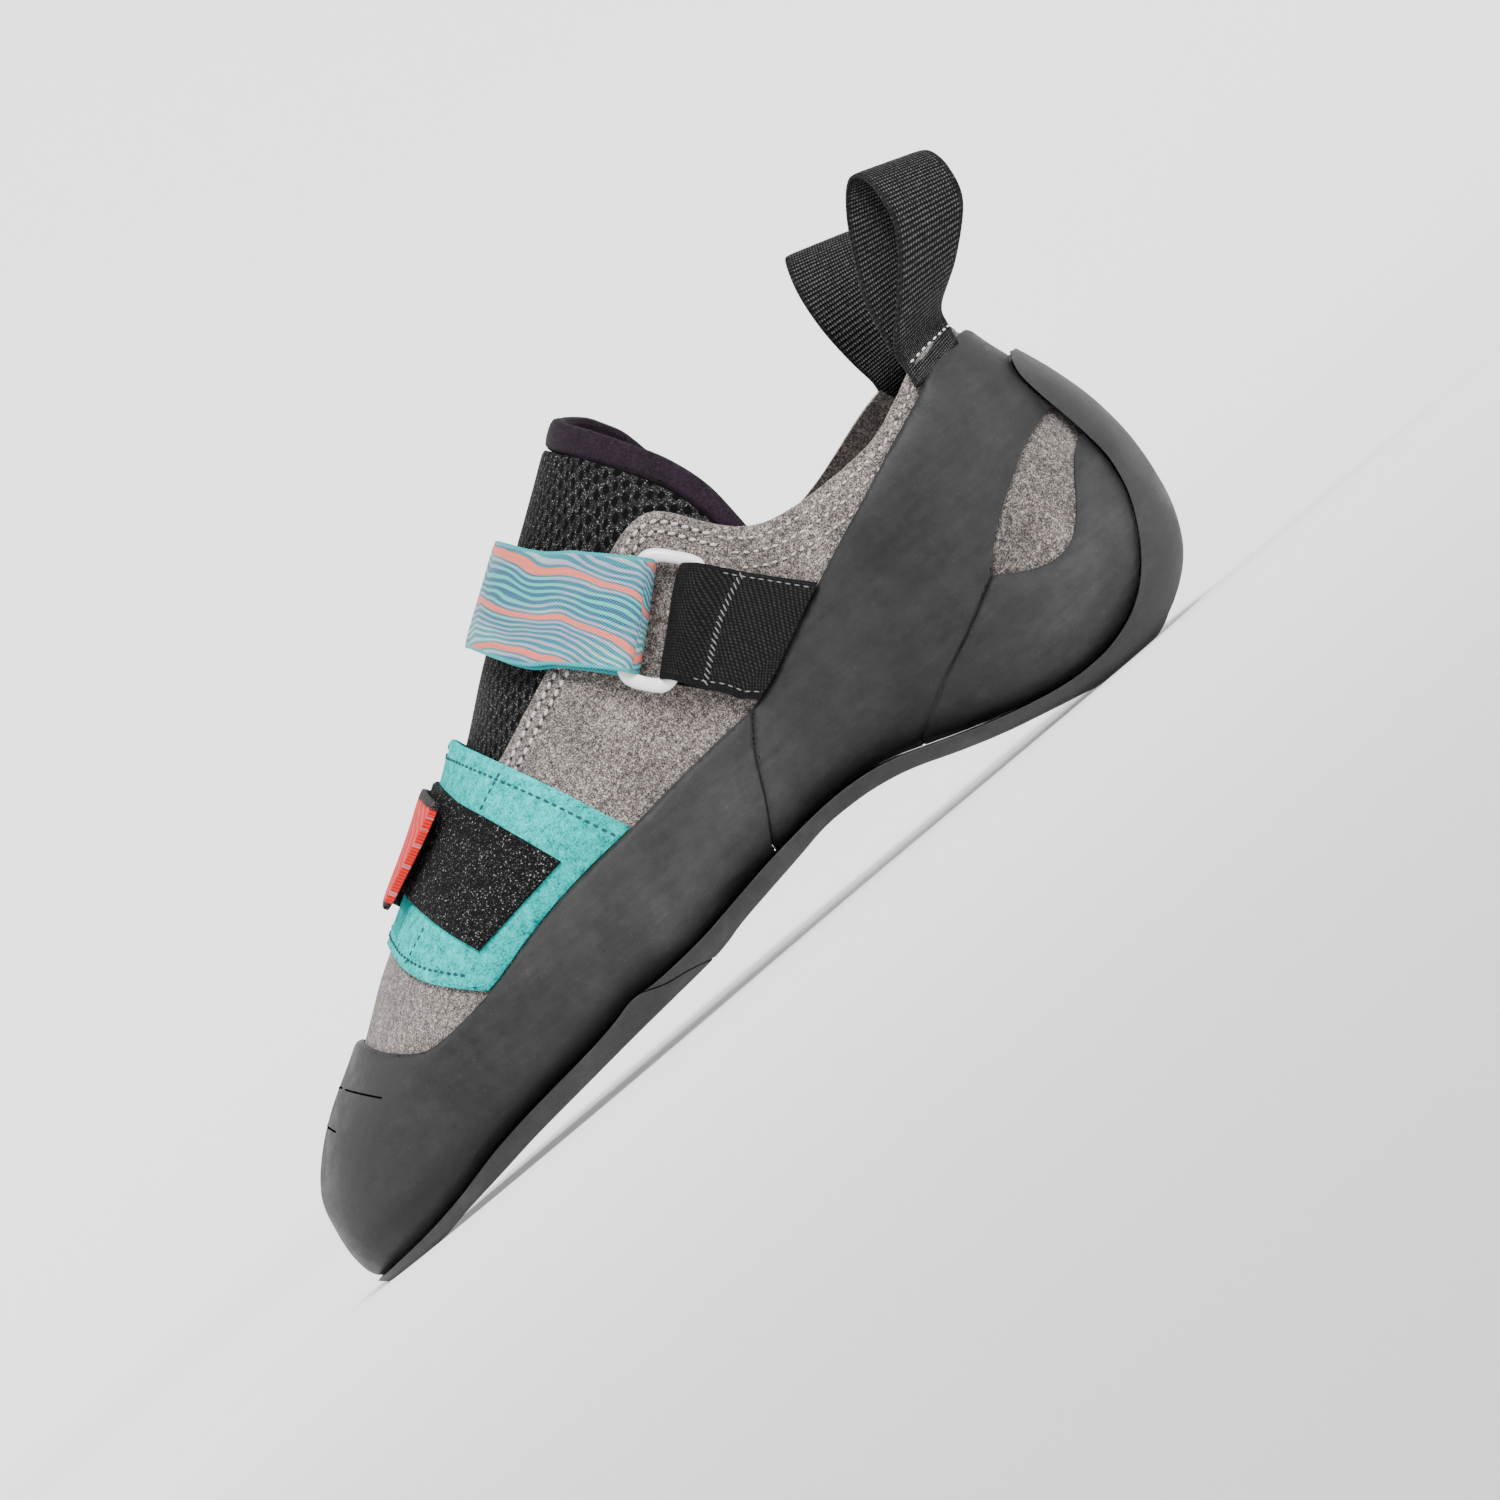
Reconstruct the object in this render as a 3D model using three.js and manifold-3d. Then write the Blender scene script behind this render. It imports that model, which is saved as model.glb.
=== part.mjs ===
// Climbing shoe with two straps, a left shoe: a slipper last shape wrapped in rubber rands,
// a two-piece sole, a sock-like tongue, a strap through an oblong ring and two pull loops.
// Units are millimetres. The toe points to -X, the outer side of the foot to -Y, +Z is up.

import * as THREE from 'three';
import { mergeVertices } from 'three/addons/utils/BufferGeometryUtils.js';
import Module from 'manifold-3d';

const wasm = await Module();
wasm.setup();

// Driving sizes of the shoe
const LENGTH = 240;
const BALL_WIDTH = 83;
const HEEL_WIDTH = 59;
const INSTEP_HEIGHT = 90;
const HEEL_HEIGHT = 80;

// Walls and layers
const GAP = 0.3;
const CLEAR = 2.5;
const UPPER_WALL = 1.8;
const RAND_WALL = 1.7;
const SOLE_THICKNESS = 4.4;
const SOLE_EDGE = 2.5;
const SOLE_FILL = 8;
const PANEL_WALL = 1.2;
const PATCH_WALL = 1.2;
const TONGUE_WALL = 3;
const BINDING_WALL = 3.4;
const INSOLE_WALL = 2.4;

// Straps, ring and pull loops
const STRAP_WALL = 1.2;
const STRAP_SINK = 2.2;
const STRAP_REACH = 58;
const STRAP_RETURN = 46;
const STRAP_RISE = 12;
const LOWER_STRAP_WALL = 1.9;
const RING_BAR = 3;
const RING_DEPTH = 2.4;
const RING_WIDTH = 13.6;
const RING_LENGTH = 33;
const WEBBING_WALL = 1.2;
const LOOP_WIDTH = 16;
const LOOP_WALL = 1.3;

// How finely the curved forms are divided
const STATIONS = 34;
const AROUND = 32;
const SIMPLER = 0.14;

// Sections of the last from the toe tip to the back of the heel. Each section is a plane from
// a low point to a ridge point in side view. low and ridge are shares of the length; lowUp and
// ridgeUp of the instep height, and behind the ankle of the heel height; axis, crest and half
// of the ball width, and half behind the ball of the heel width. belly is the height of the
// widest place as a share of the section, keel and dome are how square its halves are, and
// sole is the depth of the sole as a share of its thickness.
const SECTIONS = [
  // low, lowUp, ridge, ridgeUp, axis, half, belly, crest, keel, dome, sole
  [0.009, 0.107, 0.009, 0.108, 0.153, 0.007, 0.50, 0.153, 2.2, 2.0, 0.6],
  [0.012, 0.053, 0.013, 0.173, 0.151, 0.088, 0.50, 0.153, 2.6, 2.0, 0.7],
  [0.021, 0.034, 0.021, 0.244, 0.141, 0.165, 0.48, 0.147, 3.2, 2.0, 0.8],
  [0.043, 0.031, 0.043, 0.313, 0.120, 0.242, 0.45, 0.135, 4.0, 2.0, 0.9],
  [0.078, 0.037, 0.076, 0.381, 0.089, 0.320, 0.42, 0.118, 5.0, 2.0, 1.0],
  [0.128, 0.059, 0.128, 0.462, 0.056, 0.398, 0.38, 0.100, 5.5, 2.05, 1.0],
  [0.182, 0.088, 0.182, 0.563, 0.031, 0.454, 0.34, 0.088, 5.5, 2.05, 1.1],
  [0.245, 0.109, 0.245, 0.660, 0.012, 0.489, 0.31, 0.076, 5.5, 2.05, 1.2],
  [0.307, 0.127, 0.307, 0.758, 0.002, 0.498, 0.29, 0.065, 5.2, 2.05, 1.2],
  [0.370, 0.142, 0.370, 0.878, 0.000, 0.485, 0.28, 0.053, 4.8, 2.05, 1.2],
  [0.432, 0.157, 0.428, 0.998, 0.005, 0.458, 0.28, 0.038, 4.4, 2.05, 1.2],
  [0.499, 0.183, 0.495, 1.118, 0.011, 0.449, 0.28, 0.024, 4.0, 2.05, 1.2],
  [0.566, 0.203, 0.562, 1.240, 0.012, 0.461, 0.29, 0.012, 3.6, 2.05, 1.0],
  [0.628, 0.202, 0.628, 1.364, 0.007, 0.484, 0.30, 0.002, 3.4, 2.05, 1.0],
  [0.687, 0.167, 0.687, 1.461, 0.002, 0.497, 0.30, 0.000, 3.4, 2.0, 1.0],
  [0.749, 0.112, 0.737, 1.440, 0.000, 0.495, 0.31, 0.000, 3.4, 2.0, 1.05],
  [0.812, 0.069, 0.774, 1.344, 0.000, 0.495, 0.32, 0.000, 3.4, 2.0, 1.3],
  [0.862, 0.061, 0.791, 1.281, 0.000, 0.488, 0.34, 0.000, 3.2, 2.0, 1.5],
  [0.905, 0.077, 0.803, 1.250, 0.000, 0.474, 0.38, 0.000, 2.9, 2.0, 1.35],
  [0.942, 0.120, 0.810, 1.228, 0.000, 0.456, 0.42, 0.000, 2.5, 2.0, 1.05],
  [0.966, 0.200, 0.814, 1.206, 0.000, 0.438, 0.46, 0.000, 2.3, 2.0, 1.0],
  [0.978, 0.312, 0.816, 1.190, 0.000, 0.420, 0.50, 0.000, 2.2, 2.0, 1.0],
  [0.983, 0.444, 0.816, 1.177, 0.000, 0.400, 0.53, 0.000, 2.2, 2.0, 1.0],
  [0.980, 0.569, 0.815, 1.170, 0.000, 0.380, 0.56, 0.000, 2.2, 2.0, 1.0],
  [0.971, 0.685, 0.813, 1.165, 0.000, 0.362, 0.58, 0.000, 2.2, 2.0, 1.0],
  [0.960, 0.787, 0.812, 1.163, 0.000, 0.346, 0.60, 0.000, 2.3, 2.0, 0.95],
  [0.949, 0.887, 0.811, 1.161, 0.000, 0.334, 0.62, 0.000, 2.4, 2.0, 0.8],
  [0.942, 0.981, 0.810, 1.161, 0.000, 0.325, 0.64, 0.000, 2.5, 2.0, 0.7],
  [0.939, 1.062, 0.810, 1.163, 0.000, 0.317, 0.66, 0.000, 2.5, 2.0, 0.7],
];

// Lines in side view, from toe to heel: along as a share of the length, and up as a share of
// the instep height, which behind the ankle becomes the heel height.
const SOLE_LINE = [
  [-0.022, 0.01], [0.008, 0.019], [0.045, 0.026], [0.078, 0.034], [0.12, 0.052], [0.162, 0.078],
  [0.203, 0.096], [0.245, 0.108], [0.287, 0.119], [0.32, 0.132], [0.345, 0.147], [0.37, 0.143],
  [0.424, 0.152], [0.462, 0.167], [0.516, 0.189], [0.578, 0.204], [0.62, 0.202], [0.653, 0.191],
  [0.682, 0.169], [0.724, 0.131], [0.766, 0.095], [0.807, 0.068], [0.841, 0.06], [0.87, 0.069],
  [0.899, 0.1], [0.924, 0.156], [0.945, 0.237], [0.962, 0.338], [0.969, 0.438], [0.968, 0.512],
  [0.964, 0.6], [0.959, 0.688], [0.957, 0.762], [0.961, 0.812], [0.97, 0.855],
];
const SOLE_BOTTOM = [
  [-0.022, -0.02], [0.012, -0.01], [0.028, 0], [0.078, 0], [0.1, 0.009],
  [0.12, 0.018], [0.162, 0.032], [0.203, 0.047], [0.245, 0.058], [0.287, 0.068], [0.33, 0.078],
  [0.37, 0.086], [0.412, 0.094], [0.437, 0.102], [0.462, 0.118], [0.495, 0.132], [0.537, 0.149],
  [0.57, 0.163], [0.6, 0.163], [0.628, 0.158], [0.662, 0.142], [0.703, 0.105], [0.745, 0.067],
  [0.787, 0.035], [0.82, 0.012], [0.841, 0], [0.903, 0], [0.924, 0.027], [0.946, 0.063],
  [0.967, 0.115], [0.981, 0.178], [0.992, 0.26], [0.997, 0.338], [1.0, 0.42], [1.0, 0.5],
  [0.997, 0.594], [0.992, 0.678], [0.984, 0.75], [0.976, 0.813], [0.97, 0.855],
];
const SOLE_JOINT = [[0.345, 0.155], [0.362, 0.14], [0.378, 0.124], [0.403, 0.112], [0.428, 0.09],
  [0.441, 0.06]];
const RAND_TOP = [[0.13, 0.5], [0.131, 0.484], [0.143, 0.437], [0.16, 0.396], [0.174, 0.372],
  [0.191, 0.363], [0.224, 0.367], [0.266, 0.382], [0.307, 0.409], [0.349, 0.431], [0.391, 0.444],
  [0.441, 0.453], [0.495, 0.467], [0.549, 0.478], [0.589, 0.482]];
const SIDE_SEAM = [[0.589, 0.482], [0.566, 0.4], [0.545, 0.289], [0.515, 0.15]];
const SLING_TOP = [[0.589, 0.482], [0.62, 0.511], [0.662, 0.584], [0.703, 0.665], [0.745, 0.737],
  [0.787, 0.787], [0.828, 0.838], [0.87, 0.887], [0.895, 0.922], [0.916, 0.945], [0.985, 0.962]];
const HEEL_SEAM = [[0.672, 0.15], [0.703, 0.212], [0.737, 0.277], [0.778, 0.335], [0.824, 0.406]];
const WINDOW_LOW = [[0.824, 0.406], [0.849, 0.359], [0.87, 0.334], [0.889, 0.333], [0.908, 0.359],
  [0.928, 0.425], [0.949, 0.5], [0.98, 0.57]];
const WINDOW_HIGH = [[0.824, 0.406], [0.849, 0.483], [0.891, 0.565], [0.932, 0.625],
  [0.98, 0.66]];
const THROAT = [[0.328, 0.82], [0.33, 0.79], [0.34, 0.768], [0.362, 0.762], [0.391, 0.778],
  [0.432, 0.822], [0.474, 0.867], [0.524, 0.92], [0.57, 0.967], [0.595, 0.992], [0.616, 1.003],
  [0.633, 1.002], [0.647, 0.975], [0.662, 0.929], [0.678, 0.892], [0.699, 0.873]];
const COLLAR_OUTER = [[0.728, 0.876], [0.766, 0.875], [0.803, 0.878], [0.828, 0.89],
  [0.858, 0.927], [0.887, 0.965], [0.916, 0.984], [0.98, 0.993]];
const COLLAR_INNER = [[0.728, 0.881], [0.762, 0.903], [0.795, 0.932], [0.828, 0.965],
  [0.858, 0.985], [0.887, 0.99], [0.98, 0.993]];
const PANEL_FRONT = [[0.204, 0.68], [0.205, 0.607], [0.206, 0.55], [0.216, 0.489],
  [0.237, 0.424], [0.262, 0.36]];
const PANEL_BACK = [[0.36, 0.96], [0.368, 0.878], [0.375, 0.839], [0.392, 0.75], [0.413, 0.633],
  [0.432, 0.513], [0.446, 0.43]];
const PATCH_FRONT = [[0.24, 0.8], [0.245, 0.7], [0.249, 0.639], [0.258, 0.55], [0.27, 0.467]];
const PATCH_BACK = [[0.322, 0.96], [0.328, 0.889], [0.335, 0.778], [0.347, 0.7], [0.362, 0.6],
  [0.376, 0.5]];
const TONGUE_LOW = [[0.295, 0.6], [0.37, 0.633], [0.462, 0.7], [0.557, 0.778], [0.62, 0.782],
  [0.662, 0.741], [0.688, 0.735]];
const TONGUE_RIM = [[0.688, 0.735], [0.688, 0.932], [0.685, 1.036], [0.673, 1.127],
  [0.655, 1.197], [0.637, 1.26], [0.622, 1.32], [0.618, 1.45]];
const BINDING_LINE = [[0.664, 0.7], [0.667, 0.909], [0.661, 1.007], [0.647, 1.083],
  [0.628, 1.151], [0.612, 1.208], [0.597, 1.264], [0.58, 1.36]];

// Where the straps lie, in the same shares: the two edges over the ridge, at the ring and at
// the end of the webbing for the ring strap; over the ridge and at the inner rand for the
// lower strap. along and up of the front edge, then of the back edge.
const RING_TRACK = [
  [0.434, 1.0, 0.515, 1.155],
  [0.538, 0.697, 0.616, 0.87],
  [0.6, 0.52, 0.702, 0.705],
];
const LOWER_TRACK = [
  [0.236, 0.66, 0.33, 0.8],
  [0.252, 0.54, 0.352, 0.63],
  [0.264, 0.44, 0.37, 0.47],
];

// Folds of the pull loops: along and up as in side view, out from the middle plane as a share
// of the heel width, yaw and pitch of the width in degrees.
const OUTER_LOOP = [
  // along, up, out, yaw, pitch
  [0.912, 0.988, 0.222, 32, 7],
  [0.915, 1.06, 0.222, 28, 4],
  [0.926, 1.17, 0.225, 18, -1],
  [0.945, 1.27, 0.225, 8, -8],
  [0.965, 1.36, 0.242, 2, -16],
  [0.982, 1.41, 0.28, 0, -20],
  [0.992, 1.395, 0.34, 0, -20],
  [0.994, 1.33, 0.385, 0, -18],
  [0.984, 1.23, 0.385, 4, -12],
  [0.95, 1.12, 0.33, 14, -4],
  [0.918, 1.04, 0.275, 28, 4],
  [0.911, 0.988, 0.258, 32, 7],
];
const INNER_LOOP = [
  [0.89, 1.0, 0.275, 26, 1],
  [0.888, 1.08, 0.275, 22, 0],
  [0.888, 1.2, 0.272, 10, -3],
  [0.892, 1.3, 0.285, 4, -10],
  [0.9, 1.37, 0.325, 0, -17],
  [0.905, 1.38, 0.38, 0, -18],
  [0.906, 1.33, 0.43, 0, -16],
  [0.902, 1.22, 0.425, 6, -9],
  [0.895, 1.1, 0.36, 18, -1],
  [0.89, 1.0, 0.311, 26, 1],
];

// Small helpers
const lerp = THREE.MathUtils.lerp;
const ease = (value, from, to) => THREE.MathUtils.smoothstep(value, from, to);
const tall = (at) => lerp(INSTEP_HEIGHT, HEEL_HEIGHT, ease(at, 0.6, 0.75));
const broad = (at) => lerp(BALL_WIDTH, HEEL_WIDTH, ease(at, 0.4, 0.7));
const place = ([along, up]) => [along * LENGTH, up * tall(along)];

function spline(values, t) {
  const last = values.length - 1;
  const i = Math.min(Math.max(Math.floor(t), 0), last - 1);
  const f = Math.min(Math.max(t, 0), last) - i;
  const b = values[i];
  const c = values[i + 1];
  const a = values[Math.max(i - 1, 0)];
  const d = values[Math.min(i + 2, last)];
  const m = (c - a) / 2;
  const n = (d - b) / 2;
  const f2 = f * f;
  const f3 = f2 * f;
  return (2 * f3 - 3 * f2 + 1) * b + (f3 - 2 * f2 + f) * m + (3 * f2 - 2 * f3) * c + (f3 - f2) * n;
}

function smoothLine(table, perSpan = 2) {
  const points = table.map((row) => new THREE.Vector2(...place(row)));
  const curve = new THREE.SplineCurve(points);
  return curve.getPoints((points.length - 1) * perSpan).map((p) => [p.x, p.y]);
}

// The last as a function: s runs over the rows of the table, a is 0 on the ridge and goes to
// -1 under the outer side and +1 under the inner side.
const COLUMNS = SECTIONS[0].map((_, c) => SECTIONS.map((row) => row[c]));
const LAST_ROW = SECTIONS.length - 1;

function section(s) {
  const value = COLUMNS.map((column) => spline(column, s));
  const [low, lowUp, ridge, ridgeUp, axis, half, belly, crest, keel, dome] = value;
  return {
    low: place([low, lowUp]),
    ridge: place([ridge, ridgeUp]),
    axis: axis * BALL_WIDTH,
    crest: crest * BALL_WIDTH,
    half: half * broad(low),
    belly, keel, dome,
  };
}

function skinPoint(s, a) {
  const cut = section(s);
  const way = Math.abs(a);
  const upper = way < 0.5;
  const angle = upper ? Math.PI * (0.5 - way) : Math.PI * (way - 0.5);
  const power = upper ? cut.dome : cut.keel;
  const across = Math.cos(angle);
  const rise = Math.sin(angle);
  const reach = (across ** power + rise ** power) ** (-1 / power);
  const v = upper ? cut.belly + (1 - cut.belly) * rise * reach : cut.belly * (1 - rise * reach);
  const shift = upper ? (cut.crest - cut.axis) * (rise * reach) ** 1.5 : 0;
  return new THREE.Vector3(
    lerp(cut.low[0], cut.ridge[0], v),
    cut.axis + shift + Math.sign(a) * cut.half * across * reach,
    lerp(cut.low[1], cut.ridge[1], v),
  );
}

function skinNormal(s, a) {
  const step = 0.02;
  const side = Math.min(Math.max(s, step), LAST_ROW - step);
  const along = skinPoint(side + step, a).sub(skinPoint(side - step, a));
  const turn = Math.min(Math.max(a, -0.996), 0.996);
  const around = skinPoint(side, turn + 0.004).sub(skinPoint(side, turn - 0.004));
  return along.cross(around).normalize();
}

const skin = (s, a, offset = 0) => skinPoint(s, a).addScaledVector(skinNormal(s, a), offset);

// Finds the section and angle of a place in side view on one side of the shoe.
function locate(row, side) {
  const [x, z] = place(row);
  let best = [0, 0, Infinity];
  let reach = [LAST_ROW / 2, 0.3];
  let middle = [LAST_ROW / 2, 0.35];
  for (let round = 0; round < 14; round += 1) {
    for (let i = -8; i <= 8; i += 1) {
      for (let j = -8; j <= 8; j += 1) {
        const s = THREE.MathUtils.clamp(middle[0] + (reach[0] * i) / 8, 0, LAST_ROW);
        const a = THREE.MathUtils.clamp(middle[1] + (reach[1] * j) / 8, 0, 0.8);
        const p = skinPoint(s, a * side);
        const miss = Math.hypot(p.x - x, p.z - z);
        if (miss < best[2]) best = [s, a, miss];
      }
    }
    middle = [best[0], best[1]];
    reach = [reach[0] / 2, reach[1] / 2];
  }
  return [best[0], best[1]];
}

// Closed bodies from grids of points
function body(points, faces) {
  const vertProperties = new Float32Array(points.flatMap((p) => [p.x, p.y, p.z]));
  const triVerts = new Uint32Array(faces.flat());
  const raw = new wasm.Mesh({ numProp: 3, vertProperties, triVerts });
  raw.merge();
  const solid = new wasm.Manifold(raw);
  return solid.volume() < 0 ? new wasm.Manifold(new wasm.Mesh({
    numProp: 3,
    vertProperties,
    triVerts: new Uint32Array(faces.flatMap(([a, b, c]) => [a, c, b])),
  })) : solid;
}

function tube(rings, ringSize, point, closed = false) {
  const points = [];
  const faces = [];
  for (let i = 0; i < rings; i += 1) {
    for (let j = 0; j < ringSize; j += 1) points.push(point(i, j));
  }
  const spans = closed ? rings : rings - 1;
  for (let i = 0; i < spans; i += 1) {
    for (let j = 0; j < ringSize; j += 1) {
      const a = i * ringSize + j;
      const b = i * ringSize + ((j + 1) % ringSize);
      const c = ((i + 1) % rings) * ringSize + j;
      const d = ((i + 1) % rings) * ringSize + ((j + 1) % ringSize);
      faces.push([a, c, b], [b, c, d]);
    }
  }
  if (!closed) {
    for (const [first, flip] of [[0, false], [(rings - 1) * ringSize, true]]) {
      const centre = new THREE.Vector3();
      for (let j = 0; j < ringSize; j += 1) centre.addScaledVector(points[first + j], 1 / ringSize);
      points.push(centre);
      for (let j = 0; j < ringSize; j += 1) {
        const a = first + j;
        const b = first + ((j + 1) % ringSize);
        faces.push(flip ? [points.length - 1, b, a] : [points.length - 1, a, b]);
      }
    }
  }
  return body(points, faces);
}

// A strip of given wall: rows along, columns across, point(i, j, face) with face 0 or 1.
function strip(rows, columns, point) {
  const ringSize = 2 * columns;
  const sample = (i, j) => (j < columns ? point(i, j, 0) : point(i, ringSize - 1 - j, 1));
  const points = [];
  const faces = [];
  for (let i = 0; i < rows; i += 1) {
    for (let j = 0; j < ringSize; j += 1) points.push(sample(i, j));
  }
  for (let i = 0; i < rows - 1; i += 1) {
    for (let j = 0; j < ringSize; j += 1) {
      const a = i * ringSize + j;
      const b = i * ringSize + ((j + 1) % ringSize);
      faces.push([a, a + ringSize, b], [b, a + ringSize, b + ringSize]);
    }
  }
  for (const [first, flip] of [[0, false], [(rows - 1) * ringSize, true]]) {
    for (let j = 0; j < columns - 1; j += 1) {
      const a = first + j;
      const b = a + 1;
      const c = first + ringSize - 1 - j;
      const d = c - 1;
      faces.push(...(flip ? [[a, c, b], [b, c, d]] : [[a, b, c], [b, d, c]]));
    }
  }
  return body(points, faces);
}

const form = (offset) => {
  const depth = typeof offset === 'function' ? offset : () => offset;
  const stations = Math.round(STATIONS);
  const around = Math.round(AROUND);
  return tube(stations, around, (i, j) => {
    const s = (LAST_ROW * i) / (stations - 1);
    const a = (2 * j) / around - 1;
    return skin(s, a, depth(s, a));
  });
};

// Prisms cut from a side view outline, through the whole shoe or one half of it
function prism(outline, from = -BALL_WIDTH, to = BALL_WIDTH) {
  const distinct = outline.filter(([x, z], i) => {
    const [px, pz] = outline[(i + outline.length - 1) % outline.length];
    return Math.hypot(x - px, z - pz) > 0.01;
  });
  const shape = new THREE.Shape(distinct.map(([x, z]) => new THREE.Vector2(x, z)));
  const block = new THREE.ExtrudeGeometry(shape, { depth: to - from, bevelEnabled: false });
  block.rotateX(Math.PI / 2);
  block.translate(0, to, 0);
  return fromGeometry(block);
}

function fromGeometry(geometry) {
  const plain = geometry.index ? geometry.toNonIndexed() : geometry;
  plain.deleteAttribute('normal');
  plain.deleteAttribute('uv');
  const merged = mergeVertices(plain, 1e-4);
  return new wasm.Manifold(new wasm.Mesh({
    numProp: 3,
    vertProperties: new Float32Array(merged.attributes.position.array),
    triVerts: new Uint32Array(merged.index.array),
  }));
}

function kerf(line, width = GAP) {
  const left = [];
  const right = [];
  line.forEach(([x, z], i) => {
    const [ax, az] = line[Math.max(i - 1, 0)];
    const [bx, bz] = line[Math.min(i + 1, line.length - 1)];
    const length = Math.hypot(bx - ax, bz - az);
    const nx = (-(bz - az) / length) * (width / 2);
    const nz = ((bx - ax) / length) * (width / 2);
    left.push([x + nx, z + nz]);
    right.push([x - nx, z - nz]);
  });
  return prism([...left, ...right.reverse()]);
}

const FAR = 2 * LENGTH;
const lines = {
  sole: smoothLine(SOLE_LINE, 1),
  bottom: smoothLine(SOLE_BOTTOM, 1),
  joint: smoothLine(SOLE_JOINT, 1),
  randTop: smoothLine(RAND_TOP, 1),
  seam: smoothLine(SIDE_SEAM, 2),
  slingTop: smoothLine(SLING_TOP, 1),
  heelSeam: smoothLine(HEEL_SEAM, 2),
  windowLow: smoothLine(WINDOW_LOW, 2),
  windowHigh: smoothLine(WINDOW_HIGH, 2),
};
const floorBlock = prism([[-FAR, -FAR], [FAR, -FAR], [FAR, 0], [-FAR, 0]], -FAR, FAR);

// The stretch under the foot, between two heights over the last, where no upper or rand reaches
function underFoot(low, high) {
  return strip(18, 7, (i, j, face) => {
    const s = lerp(3, 17.5, i / 17);
    const a = lerp(-0.2, 0.2, j / 6);
    return skin(s, a < 0 ? -1 - a : 1 - a, face ? high : low);
  });
}

// Upper: one hollow wall, open at throat and collar and under the foot
function opening(collar, from, to) {
  const edge = smoothLine([...THROAT, ...collar], 1);
  const start = edge[0][0];
  const end = edge[edge.length - 1][0];
  return prism([...edge, [end, FAR], [start, FAR]], from, to);
}

function upper(outer) {
  const inner = form(-UPPER_WALL);
  return outer
    .subtract(inner)
    .subtract(opening(COLLAR_OUTER, -BALL_WIDTH, 0))
    .subtract(opening(COLLAR_INNER, 0, BALL_WIDTH))
    .subtract(underFoot(-UPPER_WALL - CLEAR, SOLE_EDGE));
}

function insole() {
  const base = UPPER_WALL + GAP;
  const patch = strip(18, 9, (i, j, face) => {
    const s = lerp(2.8, 18.6, i / 17);
    const round = 1 - 0.5 * ease(i, 14, 17) - 0.4 * (1 - ease(i, 0, 2));
    const a = lerp(-0.235, 0.235, j / 8) * round;
    return skin(s, a < 0 ? -1 - a : 1 - a, -base + lerp(CLEAR, -INSOLE_WALL - CLEAR, face));
  });
  return form(-base).subtract(form(-base - INSOLE_WALL)).intersect(patch);
}

// Sole pieces: filled out square at the forefoot, wrapped round at the heel
function soleParts(clearOfUpper) {
  const full = form((s, a) => {
    const way = Math.abs(a);
    const square = SOLE_EDGE + (SOLE_FILL - SOLE_EDGE) * ease(way, 0.64, 0.8);
    const depth = spline(COLUMNS[10], s) * SOLE_THICKNESS;
    const wrapped = SOLE_EDGE + (depth - SOLE_EDGE) * ease(way, 0.6, 0.93);
    return lerp(wrapped, square, ease(s, 1.5, 4) * (1 - ease(s, 13.5, 16.5)));
  });
  const region = prism([...lines.bottom, ...[...lines.sole].reverse()]);
  const ring = full.intersect(region).subtract(clearOfUpper).subtract(kerf(lines.sole));
  const whole = ring.subtract(floorBlock);
  const first = lines.joint[0];
  const last = lines.joint[lines.joint.length - 1];
  const ahead = prism([...lines.joint, [last[0], -FAR], [-FAR, -FAR], [-FAR, FAR], [first[0], FAR]]);
  const cut = kerf(lines.joint);
  return {
    front: whole.intersect(ahead).subtract(cut),
    rear: whole.subtract(ahead).subtract(cut),
  };
}

// Rubber rands and overlays as shells between two larger forms
function halves(solid, side) {
  const far = side * FAR;
  const block = prism([[-FAR, -FAR], [FAR, -FAR], [FAR, FAR], [-FAR, FAR]],
    Math.min(far, 0), Math.max(far, 0));
  return solid.intersect(block);
}

function randParts(clearOfUpper) {
  const shell = form(GAP + RAND_WALL)
    .subtract(clearOfUpper)
    .subtract(underFoot(-CLEAR, GAP + RAND_WALL + CLEAR));
  const above = shell.subtract(prism([...lines.sole, [FAR, lines.sole.at(-1)[1]], [FAR, -FAR],
    [-FAR, -FAR], [-FAR, lines.sole[0][1]]])).subtract(kerf(lines.sole));
  const toeRegion = prism([...lines.randTop, ...lines.seam.slice(1), [LENGTH / 2, -FAR],
    [-FAR, -FAR], [-FAR, lines.randTop[0][1]]]);
  const seamCut = kerf(lines.seam);
  const slingLow = [...lines.seam].reverse();
  const heelRegion = prism([...slingLow, ...lines.slingTop.slice(1), [FAR, lines.slingTop.at(-1)[1]],
    [FAR, -FAR], [slingLow[0][0], -FAR]]);
  const heel = above.intersect(heelRegion).subtract(seamCut);
  const high = prism([...lines.heelSeam, ...lines.windowHigh.slice(1), [FAR, lines.windowHigh.at(-1)[1]],
    [FAR, FAR], [-FAR, FAR], [-FAR, -FAR], [lines.heelSeam[0][0], -FAR]]);
  const low = prism([...lines.heelSeam, ...lines.windowLow.slice(1), [FAR, lines.windowLow.at(-1)[1]],
    [FAR, -FAR], [lines.heelSeam[0][0], -FAR]]);
  const seamLow = kerf(lines.heelSeam);
  return {
    toe: above.intersect(toeRegion).subtract(seamCut),
    sling: heel.intersect(high).subtract(seamLow),
    heelOuter: halves(heel.intersect(low).subtract(seamLow), -1),
    heelInner: halves(heel.intersect(low).subtract(seamLow), 1),
  };
}

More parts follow.
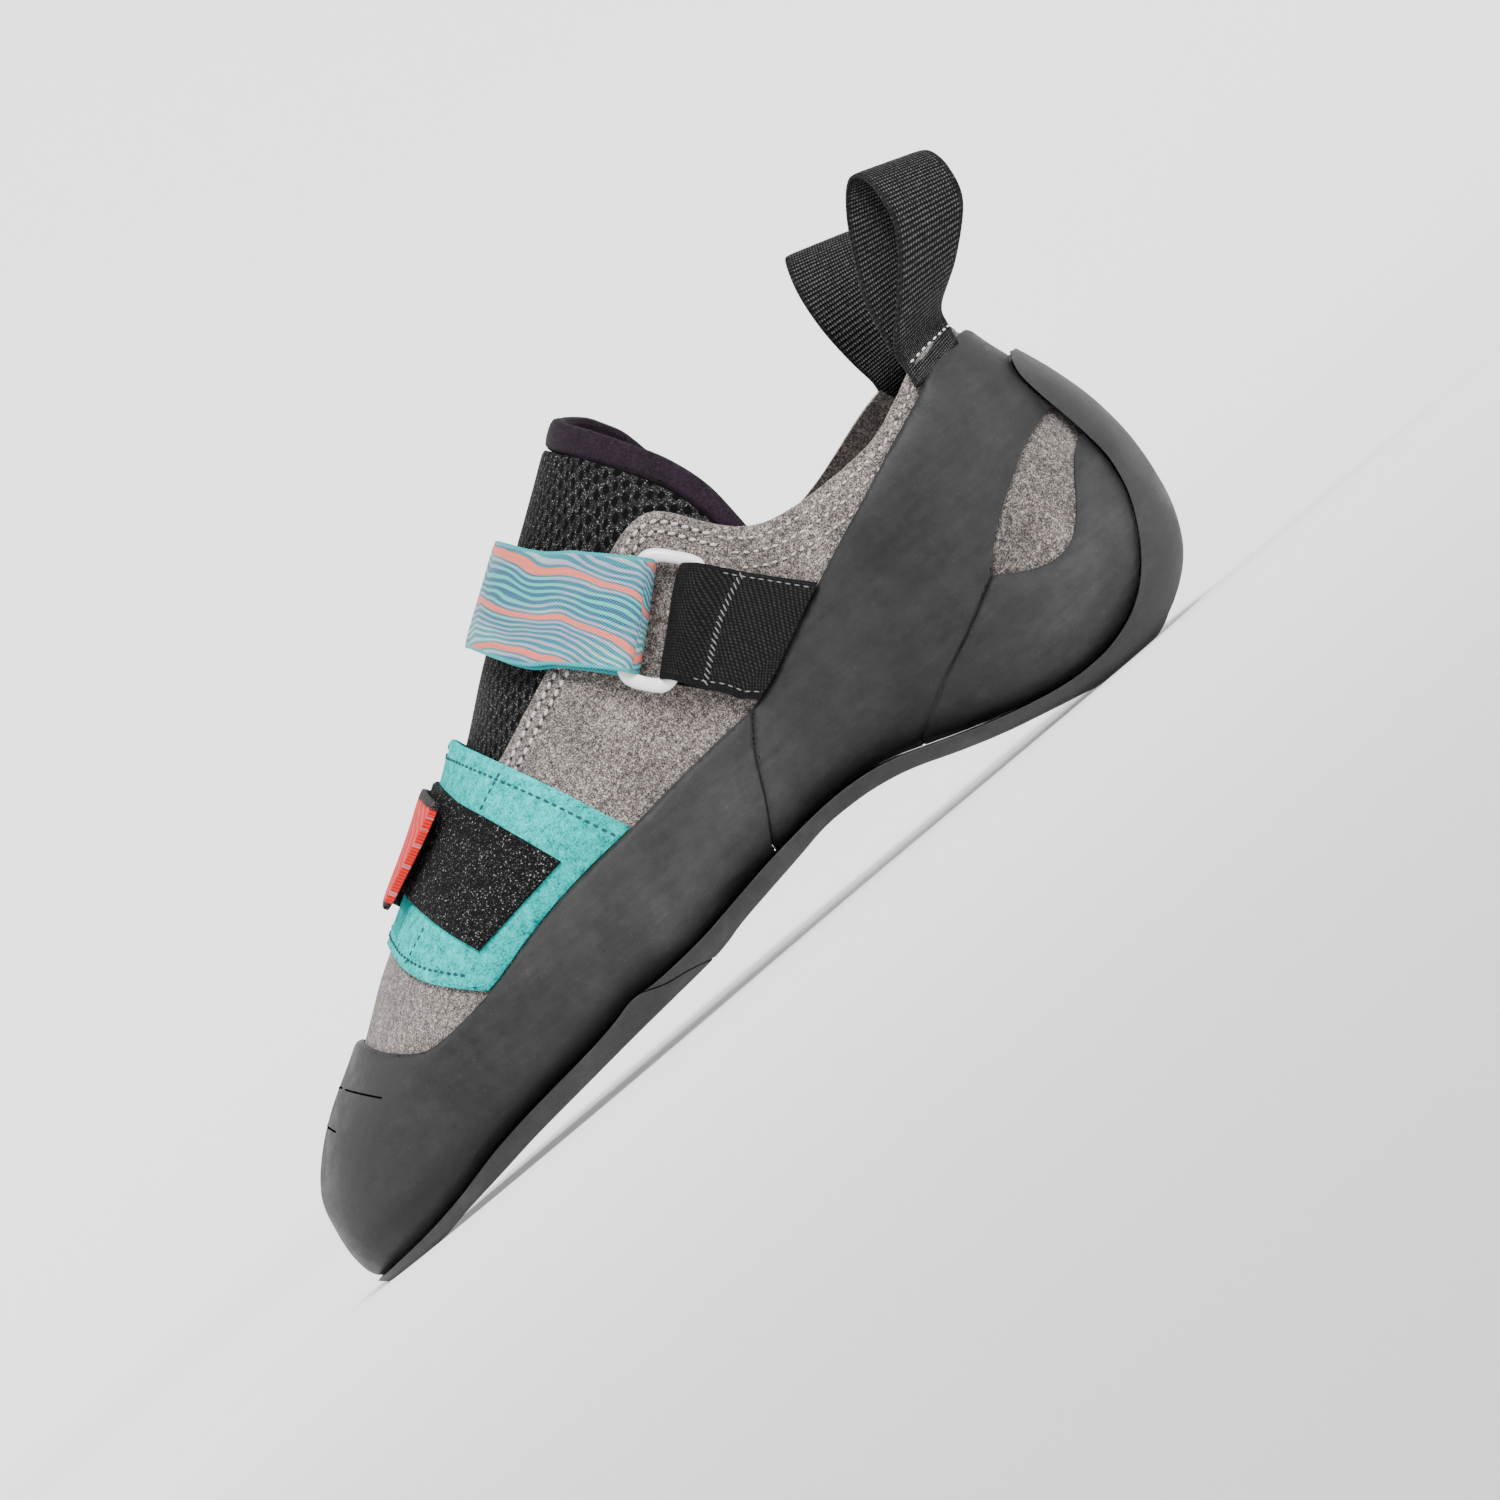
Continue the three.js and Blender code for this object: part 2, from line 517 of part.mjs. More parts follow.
function vampPanel(clearOfUpper) {
  const front = smoothLine(PANEL_FRONT, 2);
  const back = smoothLine(PANEL_BACK, 2);
  const region = prism([...front, ...[...back].reverse()]);
  const below = prism([...lines.randTop, [lines.randTop.at(-1)[0], -FAR], [-FAR, -FAR],
    [-FAR, lines.randTop[0][1]]]);
  return form(GAP + PANEL_WALL)
    .subtract(clearOfUpper)
    .intersect(region)
    .subtract(below)
    .subtract(kerf(lines.randTop, 2 * GAP));
}

const PATCH_BASE = 2 * GAP + PANEL_WALL;

function loopPatch() {
  const front = smoothLine(PATCH_FRONT, 2);
  const back = smoothLine(PATCH_BACK, 2);
  const region = prism([...front, ...[...back].reverse()], -BALL_WIDTH, BALL_WIDTH * 0.19);
  return form(PATCH_BASE + PATCH_WALL).subtract(form(PATCH_BASE)).intersect(region);
}

// Tongue: a sock-like shell inside the throat, with a bound rim round the ankle
function tongueParts() {
  const base = UPPER_WALL + GAP;
  const low = smoothLine(TONGUE_LOW, 2);
  const rim = smoothLine(TONGUE_RIM, 2);
  const bound = smoothLine(BINDING_LINE, 2);
  const region = prism([...low, ...rim.slice(1), [low[0][0], FAR]]);
  const behind = prism([...bound, [bound.at(-1)[0], FAR], [FAR, FAR], [FAR, -FAR],
    [bound[0][0], -FAR]]);
  const mesh = form(-base).subtract(form(-base - TONGUE_WALL)).intersect(region);
  const edge = form(-base).subtract(form(-base - BINDING_WALL)).intersect(region);
  return {
    tongue: mesh.subtract(behind).subtract(kerf(bound)),
    binding: edge.intersect(behind).subtract(kerf(bound)),
  };
}

// A track over the ridge: q in millimetres from the ridge, positive down the outer side, and
// w from 0 at the front edge to 1 at the back edge.
function makeTrack(table, side) {
  const stops = table.map(([fx, fz, bx, bz], i) => {
    const front = locate([fx, fz], side);
    const back = locate([bx, bz], side);
    if (i === 0) {
      front[1] = 0;
      back[1] = 0;
    }
    return [front, back];
  });
  const at = (k, w) => {
    const t = Math.abs(k);
    const weight = [((t - 1) * (t - 2)) / 2, t * (2 - t), (t * (t - 1)) / 2];
    const s = weight.reduce((sum, f, i) => sum + f * lerp(stops[i][0][0], stops[i][1][0], w), 0);
    const a = weight.reduce((sum, f, i) => sum + f * lerp(stops[i][0][1], stops[i][1][1], w), 0);
    return [s, Math.sign(k) * a];
  };
  const reach = [0];
  for (let i = 1; i <= 60; i += 1) {
    const from = skinPoint(...at((i - 1) / 20, 0.5));
    reach.push(reach[i - 1] + skinPoint(...at(i / 20, 0.5)).distanceTo(from));
  }
  const stage = (q) => {
    const d = Math.abs(q);
    let i = 0;
    while (i < 59 && reach[i + 1] < d) i += 1;
    return (Math.sign(q) * (i + (d - reach[i]) / (reach[i + 1] - reach[i]))) / 20;
  };
  const point = (q, w, height) => {
    const [s, a] = at(stage(q), w);
    return skin(s, -a, height);
  };
  return { point, length: (stop) => reach[stop * 20] };
}

// A band of even wall whose middle follows [q, height] points on a track
function band(track, path, wall, columns = 9, margin = 0) {
  const at = (i, j, face) => {
    const before = path[Math.max(i - 1, 0)];
    const after = path[Math.min(i + 1, path.length - 1)];
    const dq = after[0] - before[0];
    const dh = after[1] - before[1];
    const length = Math.hypot(dq, dh);
    const side = (face ? -0.5 : 0.5) * wall;
    const q = path[i][0] - (dh / length) * side;
    const h = path[i][1] + (dq / length) * side;
    return track.point(q, lerp(margin, 1 - margin, j / (columns - 1)), h);
  };
  return strip(path.length, columns, at);
}

function fold(q, height, radius, from, to, steps = 7) {
  return Array.from({ length: steps }, (_, i) => {
    const angle = THREE.MathUtils.degToRad(lerp(from, to, i / (steps - 1)));
    return [q + radius * Math.cos(angle), height + radius * Math.sin(angle)];
  });
}

const straight = (from, to, steps) => Array.from({ length: steps }, (_, i) => [
  lerp(from[0], to[0], i / (steps - 1)),
  lerp(from[1], to[1], i / (steps - 1)),
]);

// Ring strap: sewn down on the inner side, through the ring and back over itself
const ringTrack = makeTrack(RING_TRACK, 1);
const RING_Q = ringTrack.length(1);
const RING_HEIGHT = GAP + STRAP_WALL + GAP + RING_DEPTH / 2 + 0.5;
const RING_BAR_Q = (RING_WIDTH - RING_BAR) / 2;
const FOLD_RADIUS = RING_BAR / 2 + 2 * GAP + STRAP_WALL / 2;

function ringStrap() {
  const low = 2 * GAP + STRAP_WALL / 2;
  const layer = STRAP_WALL + 2 * GAP;
  const turn = RING_Q - RING_BAR_Q;
  const sink = ([q, height]) => [q, height - STRAP_SINK * (1 - ease(Math.abs(q), 7, 16))];
  const path = [
    ...straight([-STRAP_REACH, low], [turn - STRAP_RISE, low], 17).map(sink),
    [turn - STRAP_RISE / 2, low + 0.1],
    ...fold(turn, RING_HEIGHT, FOLD_RADIUS, -80, 80, 7),
    [turn - STRAP_RISE / 2, RING_HEIGHT + 1.2],
    ...straight([turn - STRAP_RISE, low + layer + 0.6], [-STRAP_RETURN, low + layer], 15).map(sink),
  ];
  return band(ringTrack, path, STRAP_WALL, 7, 0.02);
}

function ring() {
  const rings = 36;
  const section4 = 8;
  const straightHalf = (RING_LENGTH - RING_WIDTH) / 2;
  const radius = (RING_WIDTH - RING_BAR) / 2;
  const width = ringTrack.point(RING_Q, 0, 0).distanceTo(ringTrack.point(RING_Q, 1, 0));
  const boxy = (value) => Math.sign(value) * Math.abs(value) ** 0.7;
  return tube(rings, section4, (i, j) => {
    const t = (2 * Math.PI * i) / rings;
    const around = (2 * Math.PI * (j + 0.5)) / section4;
    const r = radius + (RING_BAR / 2) * Math.cos(around);
    const q = RING_Q + r * boxy(Math.sin(t));
    const w = 0.5 + (Math.sign(Math.cos(t)) * straightHalf + r * boxy(Math.cos(t))) / width;
    return ringTrack.point(q, w, RING_HEIGHT + (RING_DEPTH / 2) * Math.sin(around));
  }, true);
}

function ringWebbing() {
  const low = 2 * GAP + WEBBING_WALL / 2;
  const turn = RING_Q + RING_BAR_Q;
  const end = ringTrack.length(2);
  const high = low + WEBBING_WALL + GAP;
  const path = [
    ...straight([end, low], [turn + 8, low], 5),
    [turn + 4, low],
    ...fold(turn, RING_HEIGHT, FOLD_RADIUS, -80, -280, 9),
    [turn + 6, high + 0.5],
    ...straight([turn + 10, high], [end, high], 5),
  ];
  return band(ringTrack, path, WEBBING_WALL, 7, 0.02);
}

// Lower strap: up the inner side, over the ridge and free beyond it
const lowerTrack = makeTrack(LOWER_TRACK, -1);

function lowerStrap() {
  const base = PATCH_BASE + PATCH_WALL + GAP + LOWER_STRAP_WALL / 2;
  const inner = PATCH_BASE + LOWER_STRAP_WALL / 2;
  const foot = lowerTrack.length(2);
  const path = [
    ...straight([-foot, inner], [-20, inner], 8),
    [-15, lerp(inner, base, 0.6)],
    ...straight([-11, base], [2, base], 4),
    [7, base + 0.5],
    [12, base + 1.3],
    [17, base + 2.2],
    [21, base + 2.9],
  ];
  return band(lowerTrack, path, LOWER_STRAP_WALL, 7);
}

// Pull loops: webbing folded over and standing on the collar
function pullLoop(table, side) {
  const columns = table[0].map((_, c) => table.map((row) => row[c]));
  const rows = (table.length - 1) * 3 + 1;
  const stations = Array.from({ length: rows }, (_, i) => {
    const value = columns.map((column) => spline(column, i / 3));
    const [x, z] = place([value[0], value[1]]);
    const yaw = THREE.MathUtils.degToRad(value[3]);
    const pitch = THREE.MathUtils.degToRad(value[4]);
    return {
      middle: new THREE.Vector3(x, side * value[2] * HEEL_WIDTH, z),
      width: new THREE.Vector3(
        Math.cos(yaw) * Math.cos(pitch),
        -side * Math.sin(yaw) * Math.cos(pitch),
        Math.sin(pitch),
      ),
    };
  });
  return strip(rows, 3, (i, j, face) => {
    const before = stations[Math.max(i - 1, 0)].middle;
    const after = stations[Math.min(i + 1, rows - 1)].middle;
    const out = after.clone().sub(before).cross(stations[i].width).normalize();
    return stations[i].middle.clone()
      .addScaledVector(stations[i].width, (LOOP_WIDTH * (j - 1)) / 2)
      .addScaledVector(out, (face ? 0.5 : -0.5) * LOOP_WALL);
  });
}

// Colours and finishes
const material = (color, roughness) => new THREE.MeshStandardMaterial({
  color, roughness, metalness: 0,
});
const suede = material(0x77716c, 0.95);
const meshCloth = material(0x1b1b1d, 0.9);
const bindingCloth = material(0x33202f, 0.85);
const insoleCloth = material(0x3c3a3a, 0.95);
const rubber = material(0x35363a, 0.75);
const soleRubber = material(0x2c2d30, 0.7);
const turquoise = material(0x1fa6b4, 0.9);
const fuzz = material(0x17171a, 1);
const coral = material(0xd8483f, 0.8);
const elastic = material(0x57b6cc, 0.8);
const gloss = material(0xf1f1ef, 0.3);
const webbing = material(0x1d1d20, 0.85);

const clearOfUpper = form(GAP);
const soles = soleParts(clearOfUpper);
const rands = randParts(clearOfUpper);
const tongues = tongueParts();

const pieces = [
  ['upper', upper(form(0)), suede],
  ['tongue', tongues.tongue, meshCloth],
  ['tongue_binding', tongues.binding, bindingCloth],
  ['insole', insole(), insoleCloth],
  ['outsole_front', soles.front, soleRubber],
  ['outsole_rear', soles.rear, soleRubber],
  ['toe_rand', rands.toe, rubber],
  ['sling_rand', rands.sling, rubber],
  ['heel_rand_outer', rands.heelOuter, rubber],
  ['heel_rand_inner', rands.heelInner, rubber],
  ['vamp_panel', vampPanel(clearOfUpper), turquoise],
  ['loop_patch', loopPatch(), fuzz],
  ['lower_strap', lowerStrap(), coral],
  ['ring_strap', ringStrap(), elastic],
  ['strap_ring', ring(), gloss],
  ['ring_webbing', ringWebbing(), webbing],
  ['pull_loop_outer', pullLoop(OUTER_LOOP, -1), webbing],
  ['pull_loop_inner', pullLoop(INNER_LOOP, 1), webbing],
];

// The shoe as a group of named meshes, centred over the floor
function toMesh(name, solid, look) {
  const raw = solid.simplify(SIMPLER).getMesh();
  const geometry = new THREE.BufferGeometry();
  geometry.setAttribute('position', new THREE.BufferAttribute(
    new Float32Array(raw.vertProperties), raw.numProp));
  geometry.setIndex(new THREE.BufferAttribute(new Uint32Array(raw.triVerts), 1));
  geometry.computeVertexNormals();
  const mesh = new THREE.Mesh(geometry, look);
  mesh.name = name;
  return mesh;
}

const group = new THREE.Group();
group.name = 'climbing_shoe';
for (const [name, solid, look] of pieces) group.add(toMesh(name, solid, look));

const box = new THREE.Box3().setFromObject(group);
const middle = box.getCenter(new THREE.Vector3());
for (const mesh of group.children) mesh.position.set(-middle.x, -middle.y, -box.min.z);

export default group;
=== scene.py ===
"""Dresses the climbing shoe: suede, rubber, mesh, straps, ring and pull loops, with their stitches."""

import math

import bmesh
import bpy
import numpy as np
from mathutils import Matrix, Vector


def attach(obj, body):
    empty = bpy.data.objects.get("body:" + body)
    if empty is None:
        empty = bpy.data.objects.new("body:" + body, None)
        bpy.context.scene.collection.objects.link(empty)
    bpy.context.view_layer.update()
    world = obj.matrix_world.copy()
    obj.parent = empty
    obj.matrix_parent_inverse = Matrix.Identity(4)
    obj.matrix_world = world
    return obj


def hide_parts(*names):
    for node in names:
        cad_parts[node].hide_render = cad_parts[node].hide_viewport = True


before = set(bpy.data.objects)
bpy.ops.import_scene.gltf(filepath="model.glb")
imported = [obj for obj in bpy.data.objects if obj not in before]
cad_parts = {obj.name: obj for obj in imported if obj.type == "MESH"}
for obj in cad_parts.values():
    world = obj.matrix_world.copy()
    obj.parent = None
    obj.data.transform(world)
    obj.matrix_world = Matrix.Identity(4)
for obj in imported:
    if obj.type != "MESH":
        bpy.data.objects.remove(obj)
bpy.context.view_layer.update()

# Sizes of the shoe in millimetres, as the solids have them
LENGTH = 240
BALL_WIDTH = 83
HEEL_WIDTH = 59
INSTEP_HEIGHT = 90
HEEL_HEIGHT = 80
MIDDLE = np.array([123.254, 0.543, 0.0])
GAP = 0.3
UPPER_WALL = 1.8
RAND_WALL = 1.7
RAND_JOINT = 0.12
SOLE_THICKNESS = 4.4
SOLE_EDGE = 2.5
SOLE_FILL = 8
PANEL_WALL = 1.2
PATCH_WALL = 1.2
TONGUE_WALL = 3
BINDING_WALL = 3.4
INSOLE_WALL = 2.4
STRAP_WALL = 1.2
STRAP_SINK = 2.2
LOWER_STRAP_WALL = 1.9
RING_BAR = 3
RING_DEPTH = 2.4
RING_WIDTH = 13.6
RING_LENGTH = 33
WEBBING_WALL = 1.2
LOOP_WIDTH = 16
LOOP_WALL = 1.3
PATCH_BASE = 2 * GAP + PANEL_WALL

# Sections of the last, in shares of the sizes: low, lowUp, ridge, ridgeUp, axis, half, belly,
# crest, keel, dome, sole
SECTIONS = [
    [0.009, 0.107, 0.009, 0.108, 0.153, 0.007, 0.50, 0.153, 2.2, 2.0, 0.6],
    [0.012, 0.053, 0.013, 0.173, 0.151, 0.088, 0.50, 0.153, 2.6, 2.0, 0.7],
    [0.021, 0.034, 0.021, 0.244, 0.141, 0.165, 0.48, 0.147, 3.2, 2.0, 0.8],
    [0.043, 0.031, 0.043, 0.313, 0.120, 0.242, 0.45, 0.135, 4.0, 2.0, 0.9],
    [0.078, 0.037, 0.076, 0.381, 0.089, 0.320, 0.42, 0.118, 5.0, 2.0, 1.0],
    [0.128, 0.059, 0.128, 0.462, 0.056, 0.398, 0.38, 0.100, 5.5, 2.05, 1.0],
    [0.182, 0.088, 0.182, 0.563, 0.031, 0.454, 0.34, 0.088, 5.5, 2.05, 1.1],
    [0.245, 0.109, 0.245, 0.660, 0.012, 0.489, 0.31, 0.076, 5.5, 2.05, 1.2],
    [0.307, 0.127, 0.307, 0.758, 0.002, 0.498, 0.29, 0.065, 5.2, 2.05, 1.2],
    [0.370, 0.142, 0.370, 0.878, 0.000, 0.485, 0.28, 0.053, 4.8, 2.05, 1.2],
    [0.432, 0.157, 0.428, 0.998, 0.005, 0.458, 0.28, 0.038, 4.4, 2.05, 1.2],
    [0.499, 0.183, 0.495, 1.118, 0.011, 0.449, 0.28, 0.024, 4.0, 2.05, 1.2],
    [0.566, 0.203, 0.562, 1.240, 0.012, 0.461, 0.29, 0.012, 3.6, 2.05, 1.0],
    [0.628, 0.202, 0.628, 1.364, 0.007, 0.484, 0.30, 0.002, 3.4, 2.05, 1.0],
    [0.687, 0.167, 0.687, 1.461, 0.002, 0.497, 0.30, 0.000, 3.4, 2.0, 1.0],
    [0.749, 0.112, 0.737, 1.440, 0.000, 0.495, 0.31, 0.000, 3.4, 2.0, 1.05],
    [0.812, 0.069, 0.774, 1.344, 0.000, 0.495, 0.32, 0.000, 3.4, 2.0, 1.3],
    [0.862, 0.061, 0.791, 1.281, 0.000, 0.488, 0.34, 0.000, 3.2, 2.0, 1.5],
    [0.905, 0.077, 0.803, 1.250, 0.000, 0.474, 0.38, 0.000, 2.9, 2.0, 1.35],
    [0.942, 0.120, 0.810, 1.228, 0.000, 0.456, 0.42, 0.000, 2.5, 2.0, 1.05],
    [0.966, 0.200, 0.814, 1.206, 0.000, 0.438, 0.46, 0.000, 2.3, 2.0, 1.0],
    [0.978, 0.312, 0.816, 1.190, 0.000, 0.420, 0.50, 0.000, 2.2, 2.0, 1.0],
    [0.983, 0.444, 0.816, 1.177, 0.000, 0.400, 0.53, 0.000, 2.2, 2.0, 1.0],
    [0.980, 0.569, 0.815, 1.170, 0.000, 0.380, 0.56, 0.000, 2.2, 2.0, 1.0],
    [0.971, 0.685, 0.813, 1.165, 0.000, 0.362, 0.58, 0.000, 2.2, 2.0, 1.0],
    [0.960, 0.787, 0.812, 1.163, 0.000, 0.346, 0.60, 0.000, 2.3, 2.0, 0.95],
    [0.949, 0.887, 0.811, 1.161, 0.000, 0.334, 0.62, 0.000, 2.4, 2.0, 0.8],
    [0.942, 0.981, 0.810, 1.161, 0.000, 0.325, 0.64, 0.000, 2.5, 2.0, 0.7],
    [0.939, 1.062, 0.810, 1.163, 0.000, 0.317, 0.66, 0.000, 2.5, 2.0, 0.7],
]
LAST_ROW = len(SECTIONS) - 1

# Lines in side view: along as a share of the length, up as a share of the height there
SOLE_LINE = [
    [-0.022, 0.01], [0.008, 0.019], [0.045, 0.026], [0.078, 0.034], [0.12, 0.052], [0.162, 0.078],
    [0.203, 0.096], [0.245, 0.108], [0.287, 0.119], [0.32, 0.132], [0.345, 0.147], [0.37, 0.143],
    [0.424, 0.152], [0.462, 0.167], [0.516, 0.189], [0.578, 0.204], [0.62, 0.202], [0.653, 0.191],
    [0.682, 0.169], [0.724, 0.131], [0.766, 0.095], [0.807, 0.068], [0.841, 0.06], [0.87, 0.069],
    [0.899, 0.1], [0.924, 0.156], [0.945, 0.237], [0.962, 0.338], [0.969, 0.438], [0.968, 0.512],
    [0.964, 0.6], [0.959, 0.688], [0.957, 0.762], [0.961, 0.812], [0.97, 0.855],
]
SOLE_BOTTOM = [
    [-0.022, -0.02], [0.012, -0.01], [0.028, 0], [0.078, 0], [0.1, 0.009],
    [0.12, 0.018], [0.162, 0.032], [0.203, 0.047], [0.245, 0.058], [0.287, 0.068], [0.33, 0.078],
    [0.37, 0.086], [0.412, 0.094], [0.437, 0.102], [0.462, 0.118], [0.495, 0.132], [0.537, 0.149],
    [0.57, 0.163], [0.6, 0.163], [0.628, 0.158], [0.662, 0.142], [0.703, 0.105], [0.745, 0.067],
    [0.787, 0.035], [0.82, 0.012], [0.841, 0], [0.903, 0], [0.924, 0.027], [0.946, 0.063],
    [0.967, 0.115], [0.981, 0.178], [0.992, 0.26], [0.997, 0.338], [1.0, 0.42], [1.0, 0.5],
    [0.997, 0.594], [0.992, 0.678], [0.984, 0.75], [0.976, 0.813], [0.97, 0.855],
]
SOLE_JOINT = [
    [0.345, 0.155], [0.362, 0.14], [0.378, 0.124], [0.403, 0.112], [0.428, 0.09], [0.441, 0.06],
]
RAND_TOP = [
    [0.13, 0.5], [0.131, 0.484], [0.143, 0.437], [0.16, 0.396], [0.174, 0.372], [0.191, 0.363],
    [0.224, 0.367], [0.266, 0.382], [0.307, 0.409], [0.349, 0.431], [0.391, 0.444],
    [0.441, 0.453], [0.495, 0.467], [0.549, 0.478], [0.589, 0.482],
]
SIDE_SEAM = [[0.589, 0.482], [0.566, 0.4], [0.545, 0.289], [0.515, 0.15]]
SLING_TOP = [
    [0.589, 0.482], [0.62, 0.511], [0.662, 0.584], [0.703, 0.665], [0.745, 0.737],
    [0.787, 0.787], [0.828, 0.838], [0.87, 0.887], [0.895, 0.922], [0.916, 0.945], [0.985, 0.962],
]
HEEL_SEAM = [[0.672, 0.15], [0.703, 0.212], [0.737, 0.277], [0.778, 0.335], [0.824, 0.406]]
WINDOW_LOW = [
    [0.824, 0.406], [0.849, 0.359], [0.87, 0.334], [0.889, 0.333], [0.908, 0.359],
    [0.928, 0.425], [0.949, 0.5], [0.98, 0.57],
]
WINDOW_HIGH = [[0.824, 0.406], [0.849, 0.483], [0.891, 0.565], [0.932, 0.625], [0.98, 0.66]]
THROAT = [
    [0.328, 0.82], [0.33, 0.79], [0.34, 0.768], [0.362, 0.762], [0.391, 0.778],
    [0.432, 0.822], [0.474, 0.867], [0.524, 0.92], [0.57, 0.967], [0.595, 0.992], [0.616, 1.003],
    [0.633, 1.002], [0.647, 0.975], [0.662, 0.929], [0.678, 0.892], [0.699, 0.873],
]
COLLAR_OUTER = [
    [0.728, 0.876], [0.766, 0.875], [0.803, 0.878], [0.828, 0.89],
    [0.858, 0.927], [0.887, 0.965], [0.916, 0.984], [0.98, 0.993],
]
COLLAR_INNER = [
    [0.728, 0.881], [0.762, 0.903], [0.795, 0.932], [0.828, 0.965],
    [0.858, 0.985], [0.887, 0.99], [0.98, 0.993],
]
PANEL_FRONT = [
    [0.204, 0.68], [0.205, 0.607], [0.206, 0.55], [0.216, 0.489], [0.237, 0.424], [0.262, 0.36],
]
PANEL_BACK = [
    [0.36, 0.96], [0.368, 0.878], [0.375, 0.839], [0.392, 0.75], [0.413, 0.633],
    [0.432, 0.513], [0.446, 0.43],
]
PATCH_FRONT = [[0.24, 0.8], [0.245, 0.7], [0.249, 0.639], [0.258, 0.55], [0.27, 0.467]]
PATCH_BACK = [[0.322, 0.96], [0.328, 0.889], [0.335, 0.778], [0.347, 0.7], [0.362, 0.6], [0.376, 0.5]]
TONGUE_LOW = [
    [0.295, 0.6], [0.37, 0.633], [0.462, 0.7], [0.557, 0.778], [0.62, 0.782],
    [0.662, 0.741], [0.688, 0.735],
]
TONGUE_RIM = [
    [0.688, 0.735], [0.688, 0.932], [0.685, 1.036], [0.673, 1.127],
    [0.655, 1.197], [0.637, 1.26], [0.622, 1.32], [0.618, 1.45],
]
BINDING_LINE = [
    [0.664, 0.7], [0.667, 0.909], [0.661, 1.007], [0.647, 1.083],
    [0.628, 1.151], [0.612, 1.208], [0.597, 1.264], [0.58, 1.36],
]
RING_TRACK = [
    [0.433, 0.99, 0.516, 1.165],
    [0.534, 0.684, 0.616, 0.87],
    [0.592, 0.495, 0.702, 0.675],
]
LOWER_TRACK = [
    [0.236, 0.66, 0.33, 0.8],
    [0.252, 0.54, 0.352, 0.63],
    [0.264, 0.44, 0.37, 0.47],
]

# Folds of the pull loops: along, up, out as a share of the heel width, yaw and pitch in degrees
OUTER_LOOP = [
    [0.912, 0.988, 0.222, 32, 7], [0.915, 1.06, 0.222, 28, 4], [0.926, 1.17, 0.225, 18, -1],
    [0.945, 1.27, 0.225, 8, -8], [0.965, 1.36, 0.242, 2, -16], [0.982, 1.41, 0.28, 0, -20],
    [0.992, 1.395, 0.34, 0, -20], [0.994, 1.33, 0.385, 0, -18], [0.984, 1.23, 0.385, 4, -12],
    [0.95, 1.12, 0.33, 14, -4], [0.918, 1.04, 0.275, 28, 4], [0.911, 0.988, 0.258, 32, 7],
]
INNER_LOOP = [
    [0.89, 1.0, 0.275, 26, 1], [0.888, 1.08, 0.275, 22, 0], [0.888, 1.2, 0.272, 10, -3],
    [0.892, 1.3, 0.285, 4, -10], [0.9, 1.37, 0.325, 0, -17], [0.905, 1.38, 0.38, 0, -18],
    [0.906, 1.33, 0.43, 0, -16], [0.902, 1.22, 0.425, 6, -9], [0.895, 1.1, 0.36, 18, -1],
    [0.89, 1.0, 0.311, 26, 1],
]


# Helpers for numbers and lines
def mix(first, second, share):
    return first + (second - first) * share


def ease(value, low, high):
    share = np.clip((value - low) / (high - low), 0, 1)
    return share * share * (3 - 2 * share)


def bell(value, width):
    """1 at zero, falling off smoothly on both sides."""
    return np.exp(-((value / width) ** 2))


def tall(along):
    return mix(INSTEP_HEIGHT, HEEL_HEIGHT, ease(along, 0.6, 0.75))


def broad(along):
    return mix(BALL_WIDTH, HEEL_WIDTH, ease(along, 0.4, 0.7))


def side_view(rows):
    """Side view points in millimetres of rows held as shares."""
    rows = np.asarray(rows, float)
    return np.stack([rows[:, 0] * LENGTH, rows[:, 1] * tall(rows[:, 0])], axis=1)


def spline(rows, place):
    """The smooth value of a table at a place counted in rows."""
    rows = np.asarray(rows, float)
    last = len(rows) - 1
    i = np.clip(np.floor(place).astype(int), 0, last - 1)
    f = np.clip(place, 0, last) - i
    f = f.reshape(f.shape + (1,) * (rows.ndim - 1))
    before, start, end = rows[np.maximum(i - 1, 0)], rows[i], rows[i + 1]
    after = rows[np.minimum(i + 2, last)]
    leave, arrive = (end - before) / 2, (after - start) / 2
    return (
        (2 * f**3 - 3 * f**2 + 1) * start
        + (f**3 - 2 * f**2 + f) * leave
        + (3 * f**2 - 2 * f**3) * end
        + (f**3 - f**2) * arrive
    )


def smooth_points(points, steps=4):
    return spline(points, np.linspace(0, len(points) - 1, (len(points) - 1) * steps + 1))


def smooth_line(rows, steps=5):
    return smooth_points(side_view(rows), steps)


def nearest(points, line, stretched=True):
    """The signed distance of side view points to a line, positive on its left, and the foot on it."""
    start, end = line[:-1].copy(), line[1:].copy()
    if stretched:
        start[0] -= (end[0] - start[0]) * 400
        end[-1] += (end[-1] - start[-1]) * 400
    way = end - start
    best = np.full(len(points), 1e9)
    left = np.ones(len(points))
    foot = np.zeros((len(points), 2))
    for a, d in zip(start, way):
        share = np.clip(((points - a) @ d) / (d @ d), 0, 1)
        at = a + share[:, None] * d
        gap = points - at
        far = np.hypot(gap[:, 0], gap[:, 1])
        closer = far < best - 1e-9
        best = np.where(closer, far, best)
        foot[closer] = at[closer]
        side = np.sign(d[0] * (points[:, 1] - a[1]) - d[1] * (points[:, 0] - a[0]))
        left = np.where(closer, np.where(side == 0, 1, side), left)
    return best * left, foot


def signed(points, line):
    return nearest(points[:, [0, 2]], line)[0]


def shifted(line, distance):
    """The line moved to its left by a distance."""
    way = np.gradient(line, axis=0)
    way /= np.linalg.norm(way, axis=1)[:, None]
    return line + distance * np.stack([-way[:, 1], way[:, 0]], axis=1)


